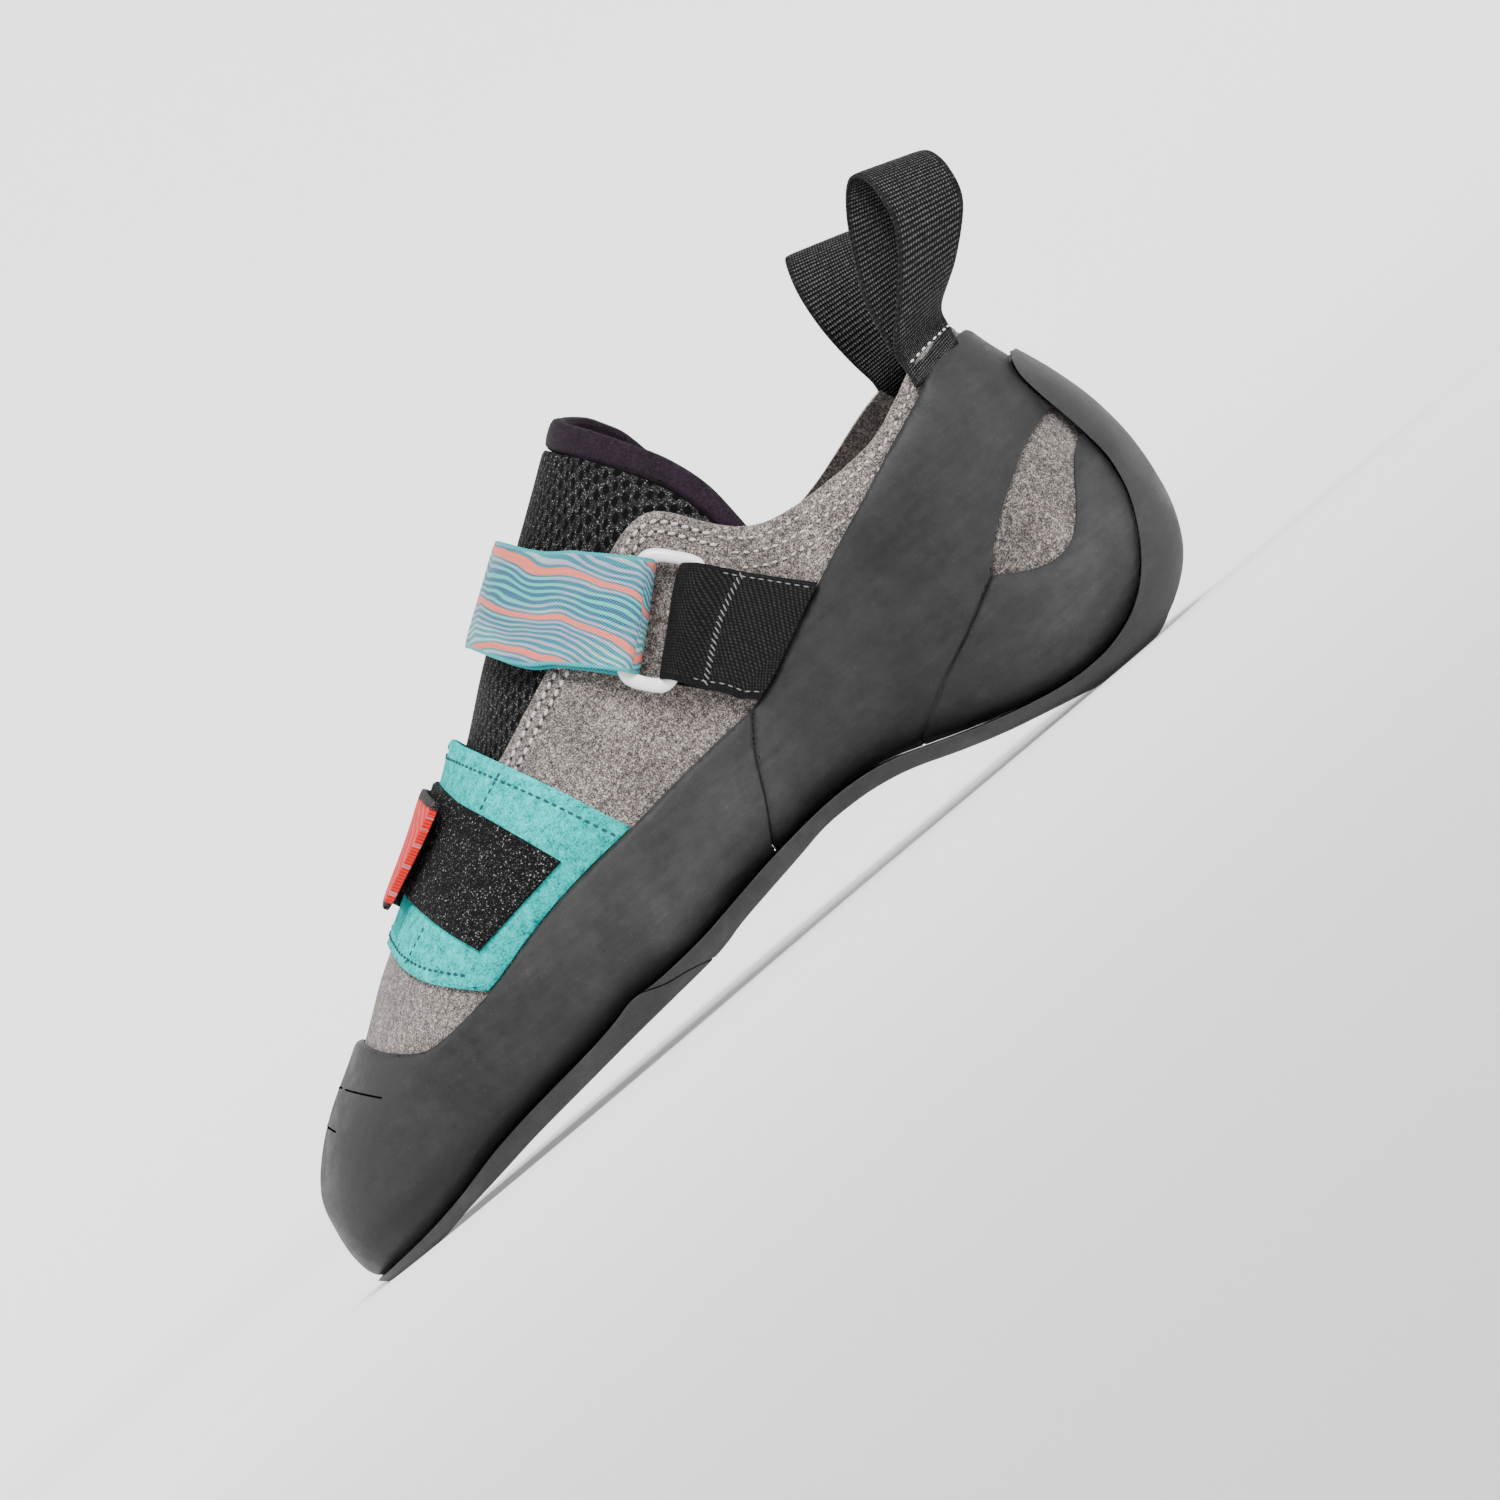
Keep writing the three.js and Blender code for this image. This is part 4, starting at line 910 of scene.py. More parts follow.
# The inner faces get a darker copy of the same suede: painted shade inside the shoe.
LINING = grey_suede("suede_inside_with_painted_shade", (0.45, 0.43, 0.42))
TURQUOISE = turquoise_suede()
RAND = rubber("rand_rubber", (0.0145, 0.0145, 0.0148), (0.036, 0.036, 0.0365))
SOLE = rubber("sole_rubber", (0.018, 0.018, 0.0183), (0.044, 0.044, 0.0445))
PILE = black_pile("black_loop_pile")
MESH = open_mesh()
BINDING = soft_knit("aubergine_binding", (0.0025, 0.0012, 0.003), (0.016, 0.0065, 0.015), 0.03)
BOARD = soft_knit("dark_insole_cloth", grey(0.012), (0.05, 0.048, 0.047), 0.1)
WEBBING = webbing_weave(
    "black_webbing", (0.0006, 0.0006, 0.0007), (0.026, 0.026, 0.027), 0.75, 0.5, 0.62, 25
)
LOOP_WEBBING = webbing_weave(
    "charcoal_loop_webbing", (0.0015, 0.0015, 0.0016), grey(0.10), 0.85, 0.03, 0.6, 16
)
PRINT = wave_print()
RING = ring_plastic()
GREY_THREAD = thread("light_grey_thread", (0.58, 0.55, 0.52))
PINHOLE = thread("shadowed_pinhole", (0.01, 0.009, 0.009))
SLIT = slit_painted_shadow()
# The teal thread is much darker than the panel: its own colour with painted shade of the sunk stitches.
TEAL_THREAD = thread("teal_thread_with_painted_shade", (0.0, 0.055, 0.065))
WHITE_THREAD = thread("white_thread", grey(0.75))
DARK_THREAD = thread("dark_grey_thread", grey(0.22))


# The upper, rands and soles
def both_sides(*row):
    """A stroke on the outer side and its mirror image on the inner side."""
    return [[*row, side] for side in (-1, 1)]


SUEDE_FOLDS = [
    [[(111, 70), (114, 60), (117, 47)], 2.4, 0.45, -1],
    [[(104, 62), (107, 54), (110, 46)], 1.8, 0.25, -1],
    [[(122, 56), (127, 49), (133, 45)], 2.2, 0.35, -1],
    [[(38, 43), (44, 39), (50, 36)], 3.0, 0.35, -1],
    [[(160, 66), (170, 61), (182, 60)], 2.2, 0.3, -1],
    [[(108, 66), (112, 56), (118, 46)], 2.6, 0.4, 1],
    [[(40, 44), (47, 40), (54, 37)], 3.0, 0.35, 1],
    [[(150, 70), (160, 62), (172, 59)], 2.4, 0.35, 1],
]
# Painted light and shade on the suede: darker through the heel window between the rubbers and along the fold
# at the vamp's side, lighter on the toe side of the vamp.
SUEDE_PAINTED_LIGHT_AND_SHADE = [
    *both_sides([(202, 33), (211, 41), (221, 50)], 11, -0.33),
    [[(36, 45), (46, 40), (54, 38)], 8, 0.15, -1],
    [[(108, 68), (112, 56), (118, 46)], 5, -0.15, -1],
]


def collar_signed(points):
    """How far inside the throat and collar edge each point is, by side."""
    outer, inner = signed(points, LINES["collar_outer"]), signed(points, LINES["collar_inner"])
    return -mix(outer, inner, ease(points[:, 1], -5, 5))


def make_upper():
    def collar(points, s, a):
        return np.where(points[:, 0] > 70, collar_signed(points), 60)

    def foot_hole(points, s, a):
        return np.maximum(np.abs(s - 10.25) - 7.25, (0.8 - np.abs(a)) * 30)

    bm = skin_sheet((0, LAST_ROW), (-1, 1), 250, 190, 0, [collar, foot_hole], rim=0.5)

    def outer(flat, edge):
        channel = collar_signed(flat)
        seams = sum(bell(channel - at, 0.5) for at in (2.4, 4.5, 7.2))
        return (
            hollows(flat, SUEDE_FOLDS)
            - UPPER_WALL * (1 - rounded(edge, 1.0, 0.55))
            - 0.28 * seams * ease(flat[:, 0], 60, 75)
            + 0.25 * bell(channel - 3.4, 0.8)
        )

    wall(bm, outer, lambda flat, edge: -UPPER_WALL)
    make_piece("suede_upper", bm, [SUEDE, LINING], ["upper"], painted_light_strokes=SUEDE_PAINTED_LIGHT_AND_SHADE)


def make_insole():
    def patch(points, s, a):
        under = 1 - np.abs((a + 1) % 2 - 1)
        taper = 1 - 0.4 * (1 - ease(s, 2.4, 4.2)) - 0.5 * ease(s, 15.8, 18.6)
        return np.minimum(8.1 - np.abs(s - 10.5), (0.235 * taper - under) * 60)

    bm = skin_sheet((2, 19), (0.7, 1.3), 110, 50, -2.1, [patch], rim=0.5)
    base = UPPER_WALL + GAP
    wall(
        bm,
        lambda flat, edge: -base,
        lambda flat, edge: -base - INSOLE_WALL * rounded(edge, 1.2, 0.5),
    )
    make_piece("insole_board", bm, [BOARD], ["insole"])


RUBBER_FOLDS = [
    [[(192, 50), (180, 38), (168, 22)], 11, 1.1, -1],
    [[(72, 25), (62, 22)], 8, 0.5, -1],
    [[(100, 22), (116, 28), (126, 30)], 9, -0.5, -1],
    [[(210, 18), (222, 26)], 9, -0.4, -1],
    [[(190, 50), (178, 38), (166, 22)], 11, 0.9, 1],
    [[(96, 22), (112, 28), (124, 30)], 9, -0.4, 1],
]
# Painted light and shade on the rands: darker in the sling's hollow, in a dent at the toe's side and in a
# band along the lower rand where it turns under; lighter on the forefoot bulge and towards the heel.
RUBBER_PAINTED_LIGHT_AND_SHADE = [
    [[(181, 54), (176, 40), (170, 24)], 9, -0.35, -1],
    [[(68, 21), (80, 25)], 6, -0.25, -1],
    [[(100, 21), (122, 32)], 8, 0.35, -1],
    [[(205, 14), (225, 26), (231, 38)], 7, 0.35, -1],
    [[(192, 66), (205, 72)], 7, 0.25, -1],
    *both_sides([(4, 9), (30, 10), (60, 12.5), (92, 17)], 3.4, -0.45),
    [[(181, 54), (176, 40), (170, 24)], 9, -0.3, 1],
    [[(100, 21), (122, 32)], 8, 0.3, 1],
]
# Painted highlights on the soles: lighter bands along the forefoot sole's side, the heel's rear bevel and the
# arch edge.
SOLE_PAINTED_HIGHLIGHTS = [
    *both_sides([(0, 1), (40, 2), (70, 6)], 5, 0.3),
    *both_sides([(236, 30), (239, 42), (237, 55), (231, 66)], 2.2, 0.45),
    [[(90, 9), (130, 14), (160, 10), (195, 3)], 1.6, 0.3, -1],
]


def seam_gap(points):
    """Half the gap between sole and rands: closed at the forefoot, a dark line behind it."""
    return mix(0.03, 0.17, ease(points[:, 0], 84, 98))


def hold_side(points, line, least, always=False):
    """Moves points over a line in side view until they are that far on its left."""
    flat = points[:, [0, 2]]
    least = np.broadcast_to(least, len(points))
    far, foot = nearest(flat, line)
    over = (far < least) | always
    way = np.gradient(line, axis=0)
    way /= np.linalg.norm(way, axis=1)[:, None]
    near = ((foot[:, None] - line[None]) ** 2).sum(-1).argmin(axis=1)
    normal = np.stack([-way[near, 1], way[near, 0]], axis=1)
    held = np.where(over[:, None], foot + normal * least[:, None], flat)
    out = points.copy()
    out[:, [0, 2]] = held
    return out


def sole_side(points, s=None, a=None):
    return signed(points, LINES["sole"]) - seam_gap(points)


def rand_height(flat, edge):
    return GAP + RAND_WALL * rounded(edge, 2.2, 0.35) + hollows(flat, RUBBER_FOLDS)


def round_the_tip(points, s, a):
    """Lets the toe rubber close under the tip of the toe, and nowhere else."""
    return 1.01 - 0.08 * ease(s, 0.8, 1.6) - np.abs(a)


def make_rand(name, node, s_span, a_span, rows, columns, cuts, height=rand_height, blunt=()):
    bm = skin_sheet(s_span, a_span, rows, columns, GAP + RAND_WALL, cuts, blunt=[sole_side, *blunt])
    write(bm, "side", sole_side(points_of(bm)))
    wall(bm, height, lambda flat, edge: GAP)
    points = points_of(bm)
    move(bm, hold_side(points, LINES["sole"], seam_gap(points), read(bm, "side") < 0.05))
    make_piece(name, bm, [RAND], [node], painted_light_strokes=RUBBER_PAINTED_LIGHT_AND_SHADE)


def make_rands():
    make_rand(
        "rubber_toe_rand", "toe_rand", (0, 14.5), (-1, 1), 150, 204,
        [below("rand_top"), below("side_seam", RAND_JOINT)], blunt=[round_the_tip],
    )
    make_rand(
        "rubber_sling", "sling_rand", (10.5, 28), (-0.93, 0.93), 200, 170,
        [below("sling_top"), above("side_seam", RAND_JOINT), above("sling_low")],
        lambda flat, edge: window_height(flat, edge, "sling_low"),
    )
    for side, name in ((-1, "outer"), (1, "inner")):
        make_rand(
            f"rubber_heel_{name}", f"heel_rand_{name}", (14, 25), (0.02 * side, 0.95 * side), 130, 90,
            [below("heel_top"), lambda points, s, a, side=side: side * points[:, 1] - 3],
            lambda flat, edge: window_height(flat, edge, "heel_top") - RAND_JOINT,
        )


def window_height(flat, edge, line):
    """The height of the heel rubber, thinned out towards the textile window."""
    window = np.abs(signed(flat, LINES[line]))
    thin = 1 - 0.75 * (1 - ease(window, 0, 5)) * ease(flat[:, 0], 195, 202)
    return GAP + RAND_WALL * np.minimum(rounded(edge, 2.2, 0.35), thin) + hollows(flat, RUBBER_FOLDS)


def sole_height(s, a):
    under = np.abs((a + 1) % 2 - 1)
    square = SOLE_EDGE + (SOLE_FILL - SOLE_EDGE) * ease(under, 0.64, 0.8)
    depth = spline(SECTIONS, s)[:, 10] * SOLE_THICKNESS
    wrapped = SOLE_EDGE + (depth - SOLE_EDGE) * ease(under, 0.6, 0.93)
    return mix(wrapped, square, ease(s, 1.5, 4) * (1 - ease(s, 13.5, 16.5)))


def make_sole(name, node, s_span, rows, columns, ends):
    bm = blank(rows, columns)
    write(bm, "along", mix(*s_span, read(bm, "along")))
    write(bm, "across", mix(0.36, 1.64, read(bm, "across")))

    def spread():
        s, a = read(bm, "along"), read(bm, "across")
        move(bm, hold_side(skin(s, a, sole_height(s, a)), LINES["bottom"], 0))

    def under_rands(points, s, a):
        return -signed(points, LINES["sole"]) - seam_gap(points)

    def round_tip(points, s, a):
        return np.hypot(*(points[:, [0, 2]] - side_view([[0.97, 0.855]])).T) - 2.2

    spread()
    for cut in [under_rands, round_tip, *ends]:
        trim(bm, cut(points_of(bm), read(bm, "along"), read(bm, "across")))
    bmesh.ops.remove_doubles(bm, verts=bm.verts, dist=0.05)
    thicken(bm)
    s, a, side = read(bm, "along"), read(bm, "across"), read(bm, "inner")
    height = np.where(side > 0.5, GAP, sole_height(s, a))
    points = hold_side(skin(s, a, height), LINES["bottom"], 0)
    points = hold_side(points, LINES["sole"][::-1], seam_gap(points))
    points[:, 2] = np.maximum(points[:, 2], 0)
    move(bm, points)
    face_outwards(bm)
    soften_rims(make_piece(name, bm, [SOLE], [node], painted_light_strokes=SOLE_PAINTED_HIGHLIGHTS), 0.22)


def make_soles():
    def ahead(points, s, a):
        return signed(points, LINES["joint"][::-1]) - GAP / 2

    make_sole("forefoot_sole", "outsole_front", (0.35, 12), 120, 130, [ahead])
    make_sole("heel_sole", "outsole_rear", (8, 26.5), 190, 110, [above("joint", GAP / 2)])


# The vamp panel, its patch and the tongue
# Painted shadow: the turquoise panel is darker below the pile patch.
PANEL_PAINTED_SHADOW = [[[(64, 35), (84, 39), (104, 45)], 7, -0.28, -1]]


def make_panel():
    cuts = [above("panel_front"), below("panel_back"), above("rand_top", 0.2)]
    bm = skin_sheet((5, 12.2), (-0.6, 0.6), 90, 150, GAP + PANEL_WALL, cuts)

    def outer(flat, edge):
        seams = sum(
            bell(np.abs(signed(flat, LINES[name])) - 2.6, 0.5) for name in ("panel_front", "panel_back")
        )
        return GAP + PANEL_WALL * rounded(edge, 1.0, 0.6) - 0.3 * seams

    wall(bm, outer, lambda flat, edge: GAP)
    piece = make_piece(
        "turquoise_vamp_panel", bm, [TURQUOISE], ["vamp_panel"], painted_light_strokes=PANEL_PAINTED_SHADOW
    )


def make_patch():
    end_line = side_view([[0.1, 0.467], [0.27, 0.467], [0.376, 0.5], [0.5, 0.54]])
    cuts = [
        above("patch_front"),
        below("patch_back"),
        lambda points, s, a: BALL_WIDTH * 0.19 - points[:, 1],
        lambda points, s, a: signed(points, end_line),
    ]
    bm = skin_sheet((6, 11), (-0.5, 0.35), 80, 110, PATCH_BASE + PATCH_WALL, cuts)
    wall(
        bm,
        lambda flat, edge: PATCH_BASE + PATCH_WALL * rounded(edge, 1.4, 0.35),
        lambda flat, edge: PATCH_BASE,
    )
    piece = make_piece("loop_pile_patch", bm, [PILE], ["loop_patch"])


def cloth_lay(s, a):
    return np.stack([a * 165, s * 17.5], axis=1)


def bound_rim(points, s, a):
    """The tongue's rim, a little higher on the inner side, so that its opening shows."""
    rise = 3.2 * ease(points[:, 1], 1, 12) * ease(points[:, 2], 96, 110)
    return signed(points, LINES["tongue_rim"]) + rise


def make_tongue():
    base = UPPER_WALL + GAP
    cuts = [above("tongue_low"), above("binding", GAP / 2)]
    bm = skin_sheet((7, 19), (-0.42, 0.42), 130, 120, -base, cuts)
    wall(
        bm,
        lambda flat, edge: -base - 0.6 * (1 - rounded(edge, 2.0, 0.2)),
        lambda flat, edge: -base - TONGUE_WALL * rounded(edge, 1.5, 0.6),
    )
    tongue = make_piece("mesh_tongue", bm, [MESH, BOARD], ["tongue"], cloth_lay)
    cuts = [above("tongue_low"), below("binding", GAP / 2), bound_rim]
    bm = skin_sheet((11, 20), (-0.42, 0.42), 110, 110, -base, cuts, rim=0.8)
    wall(
        bm,
        lambda flat, edge: -base - 1.2 * (1 - rounded(edge, 2.2, 0.0)),
        lambda flat, edge: -base - BINDING_WALL + 1.2 * (1 - rounded(edge, 2.2, 0.0)),
    )
    rim = make_piece("tongue_rim_binding", bm, [BINDING], ["tongue_binding"], cloth_lay)


# Straps and webbing that follow tracks over the ridge
class Track:
    """q runs in millimetres from the ridge down one side, w from the front edge to the back edge."""

    def __init__(self, table, side):
        table = np.array(table, float)
        table = np.vstack([table, 2 * table[2] - table[1]])
        count = np.arange(13) / 4
        table = np.stack([np.interp(count, np.arange(4), column) for column in table.T], axis=1)
        self.front = np.stack(locate(side_view(table[:, :2]), side), axis=1)
        self.back = np.stack(locate(side_view(table[:, 2:]), side), axis=1)
        for edge in (self.front, self.back):
            edge[:, 1] = np.abs(edge[:, 1])
            edge[0, 1] = 0
        self.stops = np.arange(61) / 20
        middle = skin_point(*self.at(self.stops, 0.5))
        steps = np.linalg.norm(np.diff(middle, axis=0), axis=1)
        self.reach = np.concatenate([[0], np.cumsum(steps)])
        self.side = side

    def between(self, t, w):
        """The place at a stop, between edges that run straight in side view."""
        return mix(spline(self.front, t * 4), spline(self.back, t * 4), np.asarray(w, float)[..., None])

    def at(self, stop, w):
        t = np.abs(stop)
        rounded_over = t * t / (t + 0.2 * np.exp(-t / 0.2))
        return self.between(rounded_over, w)[..., 0], -np.sign(stop) * self.between(t, w)[..., 1]

    def point(self, q, w, height):
        stop = np.sign(q) * np.interp(np.abs(q), self.reach, self.stops)
        s, a = self.at(stop, w)
        return skin(s, a, height)

    def length(self, stop):
        return self.reach[stop * 20]


def fold(q, height, radius, start, end, steps=9):
    angle = np.radians(np.linspace(start, end, steps))
    return np.stack([q + radius * np.cos(angle), height + radius * np.sin(angle)], axis=1)


def path_length(path):
    return float(np.linalg.norm(np.diff(path, axis=0), axis=1).sum())


def band_points(track, path, along, across, lift):
    """Places on a band whose middle follows a path of q and height, at a lift from that middle."""
    place = along * (len(path) - 1)
    middle = spline(path, place)
    way = spline(path, place + 0.02) - spline(path, place - 0.02)
    way /= np.linalg.norm(way, axis=1)[:, None]
    q = middle[:, 0] - way[:, 1] * lift
    height = middle[:, 1] + way[:, 0] * lift
    return track.point(q, across, height)


def make_band(
    name, node, track, path, wall_size, finishes, rows, columns, margin=0.02, width=25, cut=None
):
    bm = blank(rows, columns)
    if cut:
        across = mix(margin, 1 - margin, read(bm, "across"))
        move(bm, band_points(track, path, read(bm, "along"), across, 0))
        trim(bm, cut(points_of(bm)))
    thicken(bm)
    along, across, side = read(bm, "along"), read(bm, "across"), read(bm, "inner")
    selvedge = 1 - 0.45 * np.abs(2 * across - 1) ** 10
    lift = np.where(side > 0.5, -0.5, 0.5) * wall_size * selvedge
    move(bm, band_points(track, path, along, mix(margin, 1 - margin, across), lift))
    face_outwards(bm)
    length = path_length(path)
    piece = make_piece(
        name, bm, finishes, [node], lambda u, v: np.stack([v * width, u * length], axis=1)
    )
    return soften_rims(piece, 0.2)


RING_WAY = Track(RING_TRACK, 1)
LOWER_WAY = Track(LOWER_TRACK, -1)
RING_Q = RING_WAY.length(1)
RING_HEIGHT = GAP + STRAP_WALL + GAP + RING_DEPTH / 2 + 0.5
RING_BAR_Q = (RING_WIDTH - RING_BAR) / 2
FOLD_RADIUS = RING_BAR / 2 + 2 * GAP + STRAP_WALL / 2


def sunk(path):
    """Lets a strap sag between the throat's edges."""
    out = path.copy()
    out[:, 1] -= 0.5 * STRAP_SINK * (1 - ease(np.abs(path[:, 0]), 7, 16))
    return out


def ring_strap_path():
    low = 2 * GAP + STRAP_WALL / 2
    layer = STRAP_WALL + 2 * GAP
    turn = RING_Q - RING_BAR_Q
    return np.vstack([
        sunk(np.linspace([-58, low], [turn - 12, low], 17)),
        [[turn - 6, low + 0.1]],
        fold(turn, RING_HEIGHT, FOLD_RADIUS, -80, 80, 7),
        [[turn - 6, RING_HEIGHT + 1.2]],
        sunk(np.linspace([turn - 12, low + layer + 0.6], [-46, low + layer], 15)),
    ])


def webbing_path():
    low = 2 * GAP + WEBBING_WALL / 2
    turn = RING_Q + RING_BAR_Q
    end = RING_WAY.length(2) + 9
    high = low + WEBBING_WALL + GAP
    return np.vstack([
        np.linspace([end, low], [turn + 8, low], 5),
        [[turn + 4, low]],
        fold(turn, RING_HEIGHT, FOLD_RADIUS, -80, -280, 9),
        [[turn + 6, high + 0.5]],
        np.linspace([turn + 10, high], [end, high], 5),
    ])


def lower_strap_path():
    base = PATCH_BASE + PATCH_WALL + GAP + LOWER_STRAP_WALL / 2
    inner = PATCH_BASE + LOWER_STRAP_WALL / 2
    return np.vstack([
        np.linspace([-LOWER_WAY.length(2), inner], [-20, inner], 8),
        [[-15, mix(inner, base, 0.6)]],
        np.linspace([-11, base], [2, base], 4),
        [[7, base + 0.3], [12, base + 0.8], [17, base + 1.5], [22.5, base + 2.4]],
    ])


def clear_of_rubber(points):
    """How far side view points are above the edge of the rands."""
    seam_top = 141.4
    front, back = signed(points, LINES["rand_top"]), signed(points, LINES["sling_top"])
    return np.where(points[:, 0] < seam_top, front, back) - 0.1


def make_straps():
    path = ring_strap_path()
    strap = make_band(
        "printed_elastic_strap", "ring_strap", RING_WAY, path, STRAP_WALL, [PRINT], 220, 40
    )
    path = webbing_path()
    webbing = make_band(
        "ring_webbing_band", "ring_webbing", RING_WAY, path, WEBBING_WALL, [WEBBING], 120, 40,
        cut=clear_of_rubber,
    )
    path = lower_strap_path()
    coral = coral_print(path_length(path))
    lower = make_band(
        "coral_lower_strap", "lower_strap", LOWER_WAY, path, LOWER_STRAP_WALL, [coral, PILE],
        110, 40, 0.0, 24,
    )


def make_ring():
    straight_half = (RING_LENGTH - RING_WIDTH) / 2 - 1.2
    radius = (RING_WIDTH - RING_BAR) / 2
    ends = RING_WAY.point(np.array([RING_Q, RING_Q]), np.array([0.0, 1.0]), np.zeros(2))
    width = np.linalg.norm(ends[1] - ends[0])
    bm = blank(120, 18)
    t, around = read(bm, "along") * 2 * np.pi, read(bm, "across") * 2 * np.pi

    def boxy(value):
        return np.sign(value) * np.abs(value) ** 0.7

    r = radius + RING_BAR / 2 * np.cos(around)
    q = RING_Q + r * boxy(np.sin(t))
    w = 0.5 + (np.sign(np.cos(t)) * straight_half + r * boxy(np.cos(t))) / width
    move(bm, RING_WAY.point(q, w, RING_HEIGHT + RING_DEPTH / 2 * np.sin(around)))
    bmesh.ops.remove_doubles(bm, verts=bm.verts, dist=0.01)
    face_outwards(bm)
    make_piece("oblong_ring", bm, [RING], ["strap_ring"], sharp=80)


def tucked(row, side, lift):
    """The row that leads a loop's leg down along one face of the collar's wall."""
    along, up = row[0] - 0.004, row[1] - 0.065
    s, a = locate(side_view([[along, up]]), side)
    return [along, up, abs(skin(s, a, lift)[0, 1]) / HEEL_WIDTH, row[3], row[4]]


def make_pull_loop(name, node, table, side):
    rows = np.array([tucked(table[0], side, -UPPER_WALL - 1), *table, tucked(table[-1], side, 1.8)], float)
    bm = blank(130, 22)
    thicken(bm)
    along, across, inner = read(bm, "along"), read(bm, "across"), read(bm, "inner")

    def middle(place):
        value = spline(rows, place)
        flat = np.stack([value[:, 0] * LENGTH, value[:, 1] * tall(value[:, 0])], axis=1)
        return np.stack([flat[:, 0], side * value[:, 2] * HEEL_WIDTH, flat[:, 1]], axis=1), value

    place = along * (len(rows) - 1)
    centre, value = middle(place)
    yaw, pitch = np.radians(value[:, 3]), np.radians(value[:, 4])
    wide = np.stack([np.cos(yaw) * np.cos(pitch), -side * np.sin(yaw) * np.cos(pitch), np.sin(pitch)], axis=1)
    way = middle(place + 0.05)[0] - middle(place - 0.05)[0]
    out = np.cross(way, wide)
    out /= np.linalg.norm(out, axis=1)[:, None]
    selvedge = 1 - 0.4 * np.abs(2 * across - 1) ** 10
    lift = np.where(inner > 0.5, 0.5, -0.5) * LOOP_WALL * selvedge
    move(bm, centre + wide * (LOOP_WIDTH * (across - 0.5))[:, None] + out * lift[:, None])
    face_outwards(bm)
    length = path_length(middle(np.linspace(0, len(rows) - 1, 80))[0])
    piece = make_piece(
        name, bm, [LOOP_WEBBING], [node],
        lambda u, v: np.stack([v * LOOP_WIDTH, u * length], axis=1),
    )
    soften_rims(piece, 0.2)


# Threads: short raised stitches in even runs
def even_places(points, pitch, skip=0.5):
    """Places and directions at an even pitch along a line of points in space."""
    steps = np.linalg.norm(np.diff(points, axis=0), axis=1)
    reach = np.concatenate([[0], np.cumsum(steps)])
    at = np.arange(pitch * skip, reach[-1], pitch)
    spots = np.stack([np.interp(at, reach, points[:, i]) for i in range(3)], axis=1)
    ahead = np.stack([np.interp(at + 0.2, reach, points[:, i]) for i in range(3)], axis=1)
    behind = np.stack([np.interp(at - 0.2, reach, points[:, i]) for i in range(3)], axis=1)
    way = ahead - behind
    return spots, way / np.maximum(np.linalg.norm(way, axis=1), 1e-9)[:, None]


def run_on_skin(side_points, side, level, pitch, skip=0.5):
    """Stitch places along a side view line on one side of the shoe, with what points outwards."""
    line = smooth_points(np.array(side_points, float))
    s, a = locate(line, side)
    spots, way = even_places(skin(s, a, level), pitch, skip)
    s, a = locate(spots[:, [0, 2]], side)
    return spots, way, skin_ways(s, a)[2]


def make_stitches(name, finish, node, runs, size, turn=0.0):
    """Threads of one colour; size is their length, width and height."""
    bm = bmesh.new()
    for spots, way, out in runs:
        across = np.cross(out, way)
        across /= np.linalg.norm(across, axis=1)[:, None]
        way = way * math.cos(turn) + across * math.sin(turn)
        across = np.cross(out, way)
        for spot, d, c, o in zip(spots, way, across, out):
            frame_of = Matrix((d * size[0] / 2, c * size[1] / 2, o * size[2] / 2)).transposed().to_4x4()
            bmesh.ops.create_uvsphere(
                bm, u_segments=6, v_segments=5, radius=1, matrix=Matrix.Translation(spot) @ frame_of
            )
    bmesh.ops.recalc_face_normals(bm, faces=bm.faces)
    make_piece(name, bm, [finish], [node], sharp=80)


def inside_collar(distance, low_x, high_x, side):
    """A side view line at a distance inside the throat and collar edge."""
    line = shifted(LINES["collar_outer" if side < 0 else "collar_inner"], -distance)
    return line[(line[:, 0] > low_x) & (line[:, 0] < high_x) & (line[:, 1] > 30)]


def panel_line(name, distance, low_z):
    line = shifted(LINES[name], distance)
    return line[line[:, 1] > low_z]


def collar_runs(distances, low_x, high_x, level, pitch, skip=0.5):
    """Stitch places on both sides, at distances inside the throat and collar edge."""
    return [
        run_on_skin(inside_collar(distance, low_x, high_x, side), side, level, pitch, skip)
        for side in (-1, 1)
        for distance in distances
    ]


